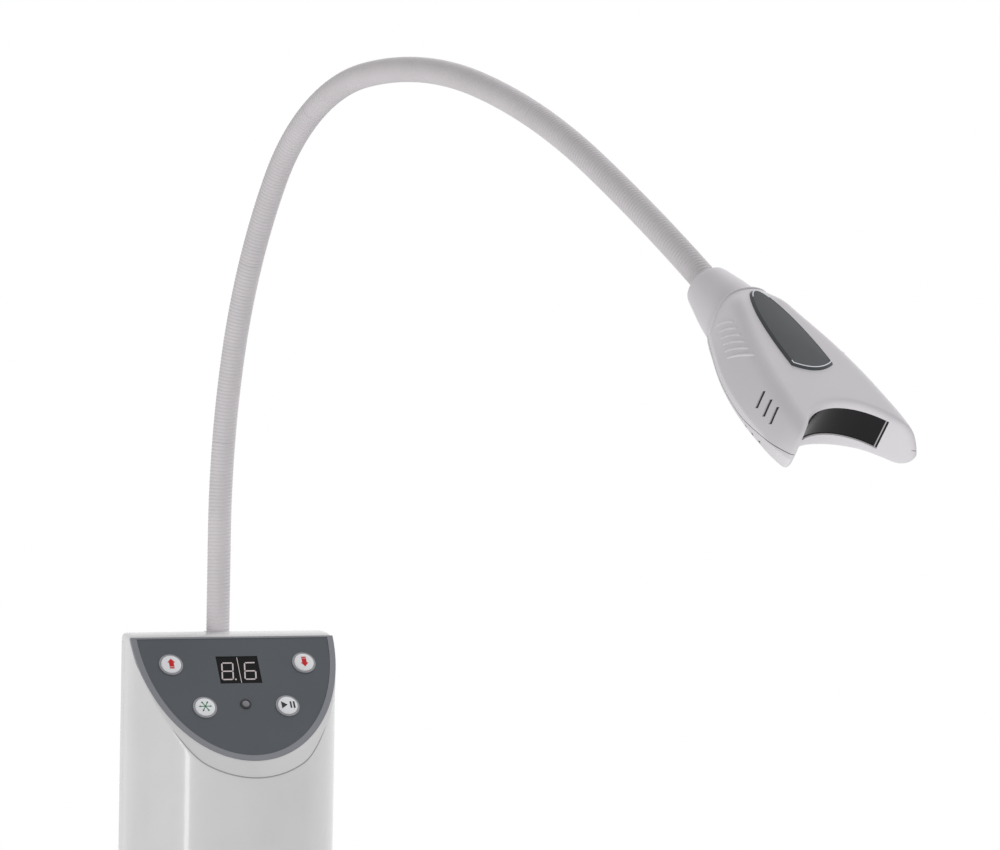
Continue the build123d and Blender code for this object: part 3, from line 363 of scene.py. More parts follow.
neckLine = NeckLine()
headStart, headForward = neckLine.at(neckLine.length)
headUp = headForward.cross(neckLine.across)
if headUp.z < 0:
    headUp = -headUp
headTurn = Matrix((headForward, neckLine.across, headUp)).transposed().to_4x4()
headRoll = Matrix.Rotation(math.radians(neckLine.look["headRoll"]), 4, "X")
headPlace = Matrix.Translation(headStart) @ headTurn @ headRoll


def ribbedNeck():
    # one ribbed sleeve over each of the neck's six hinges
    look = {"radius": 0.00695, "groove": 0.00034, "pitch": 0.0021, "sides": 28, "bend": 0.048, "foot": 0.0002,
            "into": 0.008, "profile": [(0.0, 1.0), (0.2, 0.25), (0.5, 0.0), (0.8, 0.25)]}
    bodies = ["housing"] + ["neck_%d" % i for i in range(1, 6)] + ["head"]
    joints = neckLine.joints
    side = neckLine.across
    turns = [2 * math.pi * i / look["sides"] for i in range(look["sides"])]
    halfway = [(a + b) / 2 for a, b in zip(joints, joints[1:])]
    edges = [look["foot"]] + halfway + [neckLine.length + look["into"]]
    for k, joint in enumerate(joints):
        first, last = edges[k], edges[k + 1]
        ribs = round((last - first) / look["pitch"])
        pitch = (last - first) / ribs
        stops = [(first + (i + part) * pitch, depth) for i in range(ribs) for part, depth in look["profile"]]
        rings = []
        for along, depth in stops + [(last, 1.0)]:
            place, ahead = neckLine.at(along)
            up = ahead.cross(side)
            radius = look["radius"] - look["groove"] * depth
            rings.append([place + side * (radius * math.cos(t)) + up * (radius * math.sin(t)) for t in turns])
        verts, faces = tubeRings(rings)
        low = neckLine.at(joint - look["bend"])[0]
        high = neckLine.at(joint + look["bend"])[0]
        sleeve = piece("neckSleeve%d" % (k + 1), verts, faces, "neckSkin", sharp=60,
                       bend=(bodies[k], bodies[k + 1], tuple(low), tuple(high)))
        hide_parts(*(["neck_link_0", "neck_link_1"] if k == 0 else ["neck_link_%d" % (k + 1)]))


def curve(points):
    # a smooth line through (x, value) points, straight beyond its ends
    px, py = (np.array(c, float) for c in zip(*points))
    slope = np.gradient(py, px)

    def at(x):
        i = np.clip(np.searchsorted(px, x) - 1, 0, len(px) - 2)
        run = px[i + 1] - px[i]
        raw = (x - px[i]) / run
        t = np.clip(raw, 0, 1)
        low = (1 + 2 * t) * (1 - t) ** 2 * py[i] + t * (1 - t) ** 2 * run * slope[i]
        high = t * t * (3 - 2 * t) * py[i + 1] + t * t * (t - 1) * run * slope[i + 1]
        return low + high + (raw - t) * run * np.where(raw < 0, slope[i], slope[i + 1])
    return at


def softMax(a, b, width):
    # the larger of two distances, rounded where they meet
    near = np.maximum(width - np.abs(a - b), 0) / width
    return np.maximum(a, b) + near * near * width / 4


def softMin(a, b, width):
    return -softMax(-a, -b, width)


class HeadForm:
    # The head's skin as a distance, in millimetres along, across and up from the neck's end.
    look = {
        # half widths along the head at its middle, top and bottom, and how far the front reaches by height
        "side": [(20, 12.5), (24, 14), (47, 24.5), (70, 34.5), (94, 40.5), (118, 42), (131, 41.3),
                 (139.5, 38.4)],
        "top": [(22, 8), (30, 12.5), (50, 18.5), (71, 25), (90, 29), (110, 31.3), (125, 32.3), (131.5, 32)],
        "bottom": [(22, 9), (27, 12), (49, 23), (71, 32), (94, 37.5), (116, 39), (126, 38.5), (134, 36.5)],
        "front": [(-15, 131), (-12, 133.5), (-9, 137), (-5, 139.6), (0, 139.0), (6, 136.4), (12, 132.4),
                  (16, 129.5)],
        "middle": -3.0, "roof": 20.8, "fall": 4.1, "floor": -14, "belly": 0.005, "bellyMost": 3.1,
        "bellyTurn": 1.5, "swell": 2.2, "flankSlope": 0.86, "frontSlope": 0.93,
        "flankSoft": 5, "bellySoft": 4, "frontSoft": 2.6, "rimSoft": 3.2, "backSoft": 0.9,
        # the hood over the collar, how it narrows the head's start and fades ahead
        "hoodStart": 30.5, "hoodLean": 0.2, "hoodLevel": 16, "hoodRadius": 17.9, "hoodDown": 1.2,
        "hoodSoft": 3, "startSlope": 0.8, "startSoft": 6, "fadeFrom": 40, "fade": 0.012,
        "mouthX": 147, "mouthRadius": 32, "mouthY": -1.4, "flareAngle": 51, "flareEnd": (139.5, 37),
        # the hollow: thickness of the skin and the mouth's wall, its front end and the collar's socket
        "wall": 1.9, "mouthWall": 2.4, "hollowEnd": 128.5, "socketRadius": 16.95, "socketEnd": 44,
        "screws": [(60, 17), (60, -17), (115.5, 28.5), (115.5, -28.5)],
    }

    def __init__(self):
        look = self.look
        self.side, self.top, self.bottom = (curve(look[k]) for k in ("side", "top", "bottom"))
        self.front = curve(look["front"])
        turn = math.radians(look["flareAngle"])
        reach = look["mouthRadius"]
        self.corner = (look["mouthX"] - reach * math.cos(turn), reach * math.sin(turn))
        run = np.array(look["flareEnd"]) - self.corner
        self.flare = run / np.linalg.norm(run)

    def mouth(self, x, y):
        look = self.look
        a = np.abs(y - look["mouthY"])
        arc = np.hypot(x - look["mouthX"], a) - look["mouthRadius"]
        line = (self.corner[0] - x) * self.flare[1] + (a - self.corner[1]) * self.flare[0]
        turned = np.arctan2(a, look["mouthX"] - x) > math.radians(look["flareAngle"])
        return np.where(turned, line, arc)

    def floor(self, y):
        look = self.look
        return look["floor"] + softMin(look["belly"] * y * y, look["bellyMost"], look["bellyTurn"])

    def hood(self, y, z):
        return np.hypot(y, z + self.look["hoodDown"])

    def body(self, x, y, z):
        # the head before its mouth is cut
        look = self.look
        a = np.sqrt(y * y + 0.04)  # has no crease at the middle
        side = self.side(x)
        roof = look["roof"] - x * math.tan(math.radians(look["fall"]))
        rise = np.clip((z - look["middle"]) / (roof - look["middle"]), 0, 1.4)
        drop = np.clip((look["middle"] - z) / (look["middle"] - look["floor"]), 0, 1.4)
        wide = side + (self.top(x) - side) * rise + (self.bottom(x) - side) * drop
        wide = wide + look["swell"] * rise * (1 - rise)
        form = softMax((a - wide) * look["flankSlope"], z - roof, look["flankSoft"])
        form = softMax(form, self.floor(y) - z, look["bellySoft"])
        hood = self.hood(y, z) - look["hoodRadius"]
        form = softMax(form, hood - look["startSlope"] * (x - look["hoodStart"]), look["startSoft"])
        fade = look["fade"] * np.maximum(x - look["fadeFrom"], 0) ** 2
        form = softMin(form, hood + fade, look["hoodSoft"])
        return softMax(form, (x - self.front(z)) * look["frontSlope"], look["frontSoft"])

    def across(self, x, z, level):
        # how far out the flank is there, at that distance from the skin
        return bisect(lambda y: self.body(x, y, z) < level, 8.0, 48.0)

    def shell(self, x, y, z):
        look = self.look
        body = self.body(x, y, z)
        back = look["hoodStart"] + look["hoodLean"] * (look["hoodLevel"] - z) - x
        mouth = self.mouth(x, y)
        outer = softMax(body, back, look["backSoft"])
        outer = softMax(outer, -mouth, look["rimSoft"])
        hollow = np.maximum(body + look["wall"], look["mouthWall"] - mouth)
        hollow = np.maximum(hollow, x - look["hollowEnd"])
        socket = np.maximum(self.hood(y, z) - look["socketRadius"], x - look["socketEnd"])
        return np.maximum(outer, -np.minimum(hollow, socket))


def surfaceNet(field, low, high, step):
    # an even quad mesh of the zero surface, one point to each grid cell that it crosses
    axes = [np.arange(a, b + step, step) for a, b in zip(low, high)]
    grid = np.meshgrid(*axes, indexing="ij")
    far = field(*grid)
    inside = far < 0
    cells = tuple(n - 1 for n in far.shape)
    corners = [(i, j, k) for i in (0, 1) for j in (0, 1) for k in (0, 1)]

    def shifted(values, corner):
        return values[tuple(slice(c, c + n) for c, n in zip(corner, cells))]

    count = sum(shifted(inside, c).astype(int) for c in corners)
    mixed = (count > 0) & (count < 8)
    index = np.full(cells, -1)
    index[mixed] = np.arange(mixed.sum())
    total = np.zeros((mixed.sum(), 3))
    crossings = np.zeros(mixed.sum())
    for a in corners:
        for axis in range(3):
            if a[axis] == 1:
                continue
            b = tuple(1 if i == axis else c for i, c in enumerate(a))
            da, db = shifted(far, a)[mixed], shifted(far, b)[mixed]
            cross = (da < 0) != (db < 0)
            t = np.where(cross, da / np.where(cross, da - db, 1), 0)
            spot = np.array(a, float) + np.outer(t, np.eye(3)[axis])
            total += spot * cross[:, None]
            crossings += cross
    cell = np.argwhere(mixed)
    verts = np.array(low) + (cell + total / crossings[:, None]) * step
    faces = []
    for axis in range(3):
        u, v = (axis + 1) % 3, (axis + 2) % 3
        span = [slice(None)] * 3
        span[axis] = slice(0, -1)
        other = [slice(None)] * 3
        other[axis] = slice(1, None)
        change = inside[tuple(span)] != inside[tuple(other)]
        spots = np.argwhere(change)
        spots = spots[(spots[:, u] > 0) & (spots[:, v] > 0)]
        spots = spots[(spots[:, u] < cells[u]) & (spots[:, v] < cells[v])]
        quad = []
        for du, dv in ((1, 1), (0, 1), (0, 0), (1, 0)):
            place = spots.copy()
            place[:, u] -= du
            place[:, v] -= dv
            quad.append(index[tuple(place.T)])
        quad = np.stack(quad, 1)
        flip = ~inside[tuple(spots.T)]
        quad[flip] = quad[flip][:, ::-1]
        faces.append(quad)
    return verts, np.concatenate(faces)


def slopeOf(field, points):
    # which way the distance grows at each point, and how fast
    reach = 0.05
    return np.stack([(field(*(points + reach * row).T) - field(*(points - reach * row).T)) / (2 * reach)
                     for row in np.eye(3)], 1)


def settle(field, verts, faces, rounds):
    # even the points out along the surface and put them exactly on it
    edges = np.concatenate([faces[:, [i, (i + 1) % 4]] for i in range(4)])
    degree = np.bincount(edges.ravel(), minlength=len(verts))[:, None]
    furthest = 0.4
    for _ in range(rounds):
        total = np.zeros_like(verts)
        np.add.at(total, edges[:, 0], verts[edges[:, 1]])
        np.add.at(total, edges[:, 1], verts[edges[:, 0]])
        normal = slopeOf(field, verts)
        normal /= np.linalg.norm(normal, axis=1)[:, None] + 1e-9
        move = total / degree - verts
        verts = verts + 0.5 * (move - normal * (move * normal).sum(1)[:, None])
        for _ in range(2):
            normal = slopeOf(field, verts)
            size = (normal * normal).sum(1)[:, None]
            back = field(*verts.T)[:, None] * normal / np.maximum(size, 0.3)
            verts = verts - np.clip(back, -furthest, furthest)
    return verts


def toLamp(points):
    # head millimetres to the lamp's metres
    spin = np.array(headPlace.to_3x3())
    return np.asarray(points) * milli @ spin.T + np.array(headPlace.translation)


def cutter(verts, faces):
    return linked("cutter", meshOf("cutter", verts, faces))


def pointsOf(mesh):
    where = np.empty(len(mesh.vertices) * 3)
    mesh.vertices.foreach_get("co", where)
    return where.reshape(-1, 3)


def outward(mesh):
    # turn every face of a closed mesh outwards
    net = bmesh.new()
    net.from_mesh(mesh)
    bmesh.ops.recalc_face_normals(net, faces=net.faces[:])
    net.to_mesh(mesh)
    net.free()


def carve(obj, cutters):
    # take the cutters out of the piece and drop them
    for tool in cutters:
        cut = obj.modifiers.new("cut", "BOOLEAN")
        cut.operation = "DIFFERENCE"
        cut.solver = "EXACT"
        cut.object = tool
        graph = bpy.context.evaluated_depsgraph_get()
        mesh = bpy.data.meshes.new_from_object(obj.evaluated_get(graph))
        obj.modifiers.clear()
        obj.data = mesh
        bpy.data.objects.remove(tool)


def finishSkin(shell, points, finish):
    # a carved skin's points go to their places, and it gets its finish
    mesh = shell.data
    mesh.vertices.foreach_set("co", points.ravel())
    mesh.materials.clear()
    mesh.materials.append(mats[finish])
    smooth(mesh, 40)
    mesh.update()


def arcStrip(inner, outer, first, last, low, high, parts=48):
    # a strip round the mouth's axis, its radii counted from the mouth's wall, head millimetres
    look = HeadForm.look
    x, y = look["mouthX"], look["mouthY"]
    near, far = look["mouthRadius"] + inner, look["mouthRadius"] + outer
    turns = [math.radians(first + (last - first) * i / parts) for i in range(parts + 1)]
    outline = [(x - near * math.cos(t), y + near * math.sin(t)) for t in turns]
    outline += [(x - far * math.cos(t), y + far * math.sin(t)) for t in turns[::-1]]
    return prism(outline, low, high)


def slotOutline(look, spot, more=0.0):
    # the corners of a leaning slot, along and up the head
    lean = math.radians(look["slotLean"])
    c, s = math.cos(lean), math.sin(lean)
    wide, tall = look["slotSize"][0] + more, look["slotSize"][1] + more
    corners = rectangle(-wide, wide, -tall, tall)
    return [(spot[0] + x * c - z * s, spot[1] + x * s + z * c) for x, z in corners]


def flankHoles(outline, depths):
    # a cutter through each flank, from (along, up) corners
    return [tubeRings([[(x, side * y, z) for x, z in outline] for y in depths]) for side in (-1, 1)]


def headShells():
    # "window" is what arcStrip takes: inner, outer, first and last angle, low, high
    look = {"step": 0.66, "low": (22.3, -45.3, -16.0), "high": (142, 45, 22.5), "rounds": 4,
            "parting": -7.3, "climb": 0.19, "climbFrom": 101, "climbSoft": 6, "gap": 0.2,
            "slots": [(102.7, 5.2), (109.2, 5.3), (115.1, 5.4)], "slotSize": (0.85, 3.9), "slotLean": 35,
            "slotDepths": (30, 44), "sheetMore": 0.04, "sheetUnder": 0.7, "sheetThick": 1.2,
            "vents": [(104.5, -8.6), (110.8, -8.4), (117.2, -7.9)], "ventSize": (1.0, 0.55),
            "ventDepths": (34, 44), "window": (-3, 4, -51.4, 51.4, -7.1, 8.6),
            "screwRadius": 2.7, "screwDeep": 1.5, "below": -20}
    form = HeadForm()
    verts, faces = surfaceNet(form.shell, look["low"], look["high"], look["step"])
    verts = settle(form.shell, verts, faces, look["rounds"])
    print("head skin:", len(verts), "points")

    def risen(points, sign):
        # the parting line climbs towards the tips, so the skin is cut with that climb taken out
        ahead = points[:, 0] - look["climbFrom"]
        moved = points.copy()
        moved[:, 2] += sign * look["climb"] * (np.hypot(ahead, look["climbSoft"]) + ahead) / 2
        return moved

    def parted(name, sign):
        # the skin above or below the parting line, closed where it is cut
        net = bmesh.new()
        points = [net.verts.new(v) for v in risen(verts, -1)]
        for face in faces:
            net.faces.new([points[i] for i in face])
        level = look["parting"] + sign * look["gap"]
        done = bmesh.ops.bisect_plane(net, geom=net.verts[:] + net.edges[:] + net.faces[:], dist=1e-5,
                                      plane_co=(0, 0, level), plane_no=(0, 0, 1),
                                      clear_inner=sign > 0, clear_outer=sign < 0)
        rim = [e for e in done["geom_cut"] if isinstance(e, bmesh.types.BMEdge)]
        for point in {v for e in rim for v in e.verts}:
            if form.mouth(point.co.x, point.co.y) < 0.5:
                point.co.z = look["parting"]
        bmesh.ops.triangle_fill(net, edges=rim, use_beauty=True)
        bmesh.ops.recalc_face_normals(net, faces=net.faces[:])
        mesh = bpy.data.meshes.new(name)
        net.to_mesh(mesh)
        net.free()
        mesh.vertices.foreach_set("co", risen(pointsOf(mesh), 1).ravel())
        return linked(name, mesh)

    slots = [hole for spot in look["slots"]
             for hole in flankHoles(slotOutline(look, spot), look["slotDepths"])]
    wide, tall = look["ventSize"]
    vents = [hole for x, z in look["vents"]
             for hole in flankHoles(rectangle(x - wide, x + wide, z - tall, z + tall), look["ventDepths"])]
    wells = []
    for x, y in form.look["screws"]:
        ring = circle((x, y), look["screwRadius"], 40)
        wells.append(prism(ring, look["below"], form.floor(y) + look["screwDeep"]))
    for name, sign, holes in (("headUpperShell", 1, slots), ("headLowerShell", -1, vents + wells)):
        shell = parted(name, sign)
        tools = [cutter(*arcStrip(*look["window"])), cutter(*joined(holes))]
        for tool in tools:
            outward(tool.data)
        carve(shell, tools)
        finishSkin(shell, toLamp(pointsOf(shell.data)), "headPlastic")
        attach(shell, "head")
    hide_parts("head_upper_shell")
    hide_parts("head_lower_shell")
    # a black sheet behind each slot paints the shade inside the head, and leans with the flank a little under
    # its skin
    shadeSheets = []
    for spot in look["slots"]:
        corners = slotOutline(look, spot, look["sheetMore"])
        wall = [form.across(x, z, -look["sheetUnder"]) for x, z in corners]
        for side in (-1, 1):
            rings = [[(x, side * (y - thick), z) for (x, z), y in zip(corners, wall)]
                     for thick in (look["sheetThick"], 0)]
            shadeSheets.append(tubeRings(rings if side > 0 else rings[::-1]))
    verts, faces = joined(shadeSheets)
    shadeSheet = piece("slotShadeSheets", toLamp(verts), faces, "blackPlastic", "head", sharp=30)


def laidRod(skin, path, radius):
    # a slim rod along the skin that tapers to nothing at both ends
    sides = 12
    path = np.array(path)
    ahead = np.gradient(path, axis=0)
    ahead /= np.linalg.norm(ahead, axis=1)[:, None]
    out = slopeOf(skin, path)
    out /= np.linalg.norm(out, axis=1)[:, None]
    beside = np.cross(ahead, out)
    turns = [2 * math.pi * j / sides for j in range(sides)]
    rings = []
    for t, middle, up, wide in zip(np.linspace(-1, 1, len(path)), path, out, beside):
        size = radius * max(1 - t ** 6, 0.02) ** 0.5
        rings.append([tuple(middle + size * (math.cos(a) * up + math.sin(a) * wide)) for a in turns])
    return rings


def gripRidges():
    # six raised ribs on each flank, each a slim rod half sunk in the skin
    look = {"count": 6, "low": ((41.6, 2.3), (66.6, 2.0)), "high": ((51.4, 12.0), (79.4, 13.2)), "bow": 0.9,
            "radius": 0.85, "sunk": 0.2, "steps": 26}
    form = HeadForm()
    shapes = []
    for i in range(look["count"]):
        part = i / (look["count"] - 1)
        low, high = (np.array(look[k][0]) * (1 - part) + np.array(look[k][1]) * part for k in ("low", "high"))
        side = np.array((high - low)[::-1]) * (-1, 1)
        side /= np.linalg.norm(side)
        path = []
        for k in range(look["steps"] + 1):
            t = k / look["steps"]
            x, z = low + (high - low) * t + side * look["bow"] * 4 * t * (1 - t)
            path.append((x, form.across(x, z, -look["sunk"]), z))
        rings = laidRod(form.body, path, look["radius"])
        shapes.append(tubeRings(rings))
        shapes.append(tubeRings([[(x, -y, z) for x, y, z in ring] for ring in rings[::-1]]))
    verts, faces = joined(shapes)
    made = piece("gripRidges", toLamp(verts), faces, "headPlastic", "head", sharp=60)


def hoodRim():
    # the thin raised edge where the hood starts over the collar
    look = {"ahead": [(-4, 41), (0.8, 38), (4.5, 35.5), (8.8, 32.9), (12.7, 31.6), (18, 31.2)],
            "turn": (-10, 190), "radius": 0.9, "sunk": 0.25, "steps": 80, "between": (10.0, 30.0)}
    form = HeadForm()
    ahead = curve(look["ahead"])
    start, end = (math.radians(v) for v in look["turn"])

    def spot(turn, radius):
        y, z = radius * math.cos(turn), radius * math.sin(turn) - form.look["hoodDown"]
        return float(ahead(z)), y, z

    path = []
    for k in range(look["steps"] + 1):
        turn = start + (end - start) * k / look["steps"]
        radius = bisect(lambda r: form.body(*spot(turn, r)) < -look["sunk"], *look["between"])
        path.append(spot(turn, radius))
    verts, faces = tubeRings(laidRod(form.body, path, look["radius"]))
    made = piece("hoodRim", toLamp(verts), faces, "headPlastic", "head", sharp=60)


def headCollar():
    # a cone turned round the head's own axis: (along, radius) points
    look = {"end": [(4.2, 6.4), (3.9, 7.6), (3.8, 9.6), (3.85, 10.6), (4.1, 11.3), (4.6, 11.8), (5.2, 12.05)],
            "cone": [(8, 12.7), (13, 13.8), (18, 14.9), (23, 15.8), (27, 16.4), (31, 16.8), (36, 16.85),
                     (42, 16.85)],
            "inside": [(42, 14), (18, 10.5), (14, 6.4)], "sides": 96}
    profile = look["end"] + look["cone"] + look["inside"]
    down = HeadForm.look["hoodDown"]
    turns = [2 * math.pi * i / look["sides"] for i in range(look["sides"])]
    rings = [[(x, r * math.cos(t), r * math.sin(t) - down) for x, r in profile] for t in turns]
    verts, faces = loopRings(rings)
    collar = piece("headCollar", toLamp(verts), [f[::-1] for f in faces], "headPlastic", "head", sharp=50)
    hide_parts("head_collar")


def lightWindow():
    # the dark pane, with a pale ridge along its foot and a pale bar at each end
    look = {"face": 0.7, "back": 2.0, "half": 51.3, "low": -7.05, "high": 8.55,
            "barTurn": (48.6, 49.7), "barFace": -0.2, "footTall": 0.5, "footFace": 0.2}
    half, face = look["half"], look["face"]
    pane = arcStrip(face, look["back"], -half, half, look["low"], look["high"], 64)
    made = piece("lightWindow", toLamp(pane[0]), pane[1], "windowDark", "head", sharp=30)
    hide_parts("light_window")
    inner, outer = look["barTurn"]
    top = look["low"] + look["footTall"]
    verts, faces = joined([arcStrip(look["footFace"], face, -half, half, look["low"], top, 64),
                           arcStrip(look["barFace"], face, -outer, -inner, top, look["high"], 4),
                           arcStrip(look["barFace"], face, inner, outer, top, look["high"], 4)])
    trim = piece("windowTrim", toLamp(verts), faces, "windowEdge", "head", sharp=30)


def shieldOutline(inset):
    # (along, across) points round a pointed leaf with a slightly bowed end, drawn in by inset
    look = {"side": [(35.0, 0.0), (35.6, 1.9), (37, 3.5), (40, 5.4), (45, 7.4), (50, 8.9), (60, 10.8),
                     (71, 12.0), (80, 12.5), (89, 12.6)],
            "end": 92.9, "endBow": 3.9, "endHalf": 12.6, "steps": 14, "crowd": 1.3, "middle": (72.0, 0.0),
            "pointDraw": 1.5, "shiftFrom": 90, "shiftOver": 50}
    side = look["side"]
    length = np.cumsum([0] + [math.dist(a, b) for a, b in zip(side, side[1:])])
    along, out = (curve([(s, p[i]) for s, p in zip(length, side)]) for i in (0, 1))
    spots = np.linspace(0, 1, 5 * look["steps"]) ** look["crowd"] * length[-1]
    half = [(float(along(s)), max(float(out(s)), 0.0)) for s in spots]
    half += [(look["end"] - look["endBow"] * (y / look["endHalf"]) ** 2, y)
             for y in np.linspace(look["endHalf"], 0, 2 * look["steps"])[1:]]
    ring = np.array(half + [(x, -y) for x, y in half[-2:0:-1]])
    ahead = np.roll(ring, -1, 0) - np.roll(ring, 1, 0)
    normal = np.stack([ahead[:, 1], -ahead[:, 0]], 1)
    normal /= np.linalg.norm(normal, axis=1)[:, None]
    if ((ring - look["middle"]) * normal).sum() < 0:
        normal = -normal
    moved = ring - normal * inset
    moved[0] = (ring[0][0] + look["pointDraw"] * inset, 0)
    # the leaf's point leans a millimetre to one side
    moved[:, 1] -= np.clip((look["shiftFrom"] - moved[:, 0]) / look["shiftOver"], 0, 1)
    return moved


def shieldLevel(x, up):
    look = HeadForm.look
    return look["roof"] - x * math.tan(math.radians(look["fall"])) + up


def shield():
    # (inset, up) pairs over the roof: the frame's dark bevel, its rim, then the crowned plate; the rim
    # carries a painted highlight only at the leaf's near end and its point
    look = {"bevel": [(-0.25, -0.9), (-0.25, 0.02), (0.0, 0.18), (0.75, 1.15), (0.95, 1.3)],
            "rim": [(1.2, 1.32), (1.3, 1.22)], "noHighlight": (41, 87.5), "foot": -0.9,
            "plate": 1.3, "plateUp": 1.22, "crown": 0.35, "plateMiddle": (70.0, 0.0), "plateRings": 8,
            "plateDraw": 0.97}
    profile = look["bevel"] + look["rim"] + [(look["rim"][-1][0], look["foot"])]
    rings = [[(x, y, shieldLevel(x, up)) for x, y in shieldOutline(inset)] for inset, up in profile]
    verts, faces = loopRings(rings)
    count = len(rings[0])
    frameRing = piece("shieldFrame", toLamp(verts), faces, ["shieldDark", "shieldRimPaintedHighlight"], "head", sharp=28)
    highlightFrom = len(look["bevel"]) - 2
    highlightTo = len(profile) - 2
    # the rim rows get the painted highlight, except along the middle stretch where they stay dark
    for polygon in frameRing.data.polygons:
        row = polygon.vertices[0] // count
        ahead = verts[polygon.vertices[0]][0]
        highlit = highlightFrom <= row < highlightTo and not look["noHighlight"][0] < ahead < look["noHighlight"][1]
        polygon.material_index = 1 if highlit else 0
    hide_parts("shield_frame")
    outline = shieldOutline(look["plate"])
    middle = np.array(look["plateMiddle"])
    rings = [[(x, y, shieldLevel(x, look["foot"])) for x, y in outline]]
    for k in range(look["plateRings"] + 1):
        part = 1 - k / look["plateRings"] * look["plateDraw"]
        up = look["plateUp"] + look["crown"] * (1 - part ** 2)
        rings.append([(x, y, shieldLevel(x, up)) for x, y in middle + (outline - middle) * part])
    verts, faces = tubeRings(rings)
    plate = piece("shieldPlate", toLamp(verts), faces, "shieldDark", "head", sharp=40)
    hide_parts("shield_plate")


def crossHead(look):
    # one screw with a cross recess, its head's top at nought and its shank below, millimetres
    sides = 32
    radius, tall, thin = look["radius"], look["tall"], look["shank"]
    sizes = [(thin, -tall - look["long"]), (thin, -tall), (radius, -tall), (radius, -0.3 * tall),
             (0.95 * radius, -0.1 * tall), (0.84 * radius, 0)]
    verts, faces = tubeRings([[(x, y, z) for x, y in circle((0, 0), r, sides)] for r, z in sizes])
    net = bmesh.new()
    points = [net.verts.new(v) for v in verts]
    for face in faces[:-1]:
        net.faces.new([points[i] for i in face])
    arm, half = 0.6 * radius, 0.13 * radius
    quarter = [(arm, -half), (arm, half), (half, half)]
    cross = []
    for c, s in ((1, 0), (0, 1), (-1, 0), (0, -1)):
        cross += [(x * c - y * s, x * s + y * c) for x, y in quarter]
    upper = [net.verts.new((x, y, 0)) for x, y in cross]
    lower = [net.verts.new((0.7 * x, 0.7 * y, -look["recess"])) for x, y in cross]
    count = len(cross)
    rim = [net.edges.new((upper[i], upper[(i + 1) % count])) for i in range(count)]
    last = points[-sides:]
    rim += [net.edges.get((last[i], last[(i + 1) % sides])) for i in range(sides)]
    bmesh.ops.triangle_fill(net, edges=rim, use_beauty=True)
    for i in range(count):
        j = (i + 1) % count
        net.faces.new((upper[i], upper[j], lower[j], lower[i]))
    net.faces.new(lower)
    bmesh.ops.recalc_face_normals(net, faces=net.faces[:])
    net.verts.index_update()
    found = [tuple(v.co) for v in net.verts], [tuple(v.index for v in f.verts) for f in net.faces]
    net.free()
    return found


def screwSet(name, places, out, look, body, node):
    # the same screw at each place, all in one piece that stands for the CAD set
    one = crossHead(look)
    out = np.array(out, float)
    side = np.cross(out, (0.3, 0.2, 1.0) if abs(out[2]) < 0.9 else (1.0, 0.2, 0))
    side /= np.linalg.norm(side)
    axes = np.stack([side, np.cross(out, side), out])
    turned = np.array(one[0]) @ axes * milli
    verts, faces = joined([(turned + np.array(place) * milli, one[1]) for place in places])
    made = piece(name, verts, faces, "screwSteel", body, sharp=30)
    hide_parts(node)


def headScrews():
    look = {"radius": 2.4, "tall": 1.1, "shank": 1.2, "long": 7.5, "recess": 0.7, "sunk": 0.35}
    form = HeadForm()
    spots = [(x, y, form.floor(y) + look["sunk"]) for x, y in form.look["screws"]]
    out = -np.array(headPlace.to_3x3())[:, 2]
    screwSet("headScrews", toLamp(spots) / milli, out, look, "head", "head_screws")


def boxScrews():
    look = {"cover": {"radius": 3, "tall": 2, "shank": 1.5, "long": 18, "recess": 1.1},
            "coverPlaces": [(x, 43, z) for x in (-48.5, 48.5) for z in (44, 185)],
            "collar": {"radius": 3.5, "tall": 2.2, "shank": 2, "long": 9, "recess": 1.2},
            "collarCircle": 22, "collarLevel": 23.8}
    screwSet("coverScrews", look["coverPlaces"], (0, 1, 0), look["cover"], "housing", "cover_screws")
    turns = [math.radians(45 + 90 * k) for k in range(4)]
    reach = look["collarCircle"]
    places = [(reach * math.cos(t), reach * math.sin(t), look["collarLevel"]) for t in turns]
    screwSet("collarScrews", places, (0, 0, -1), look["collar"], "housing", "collar_screws")


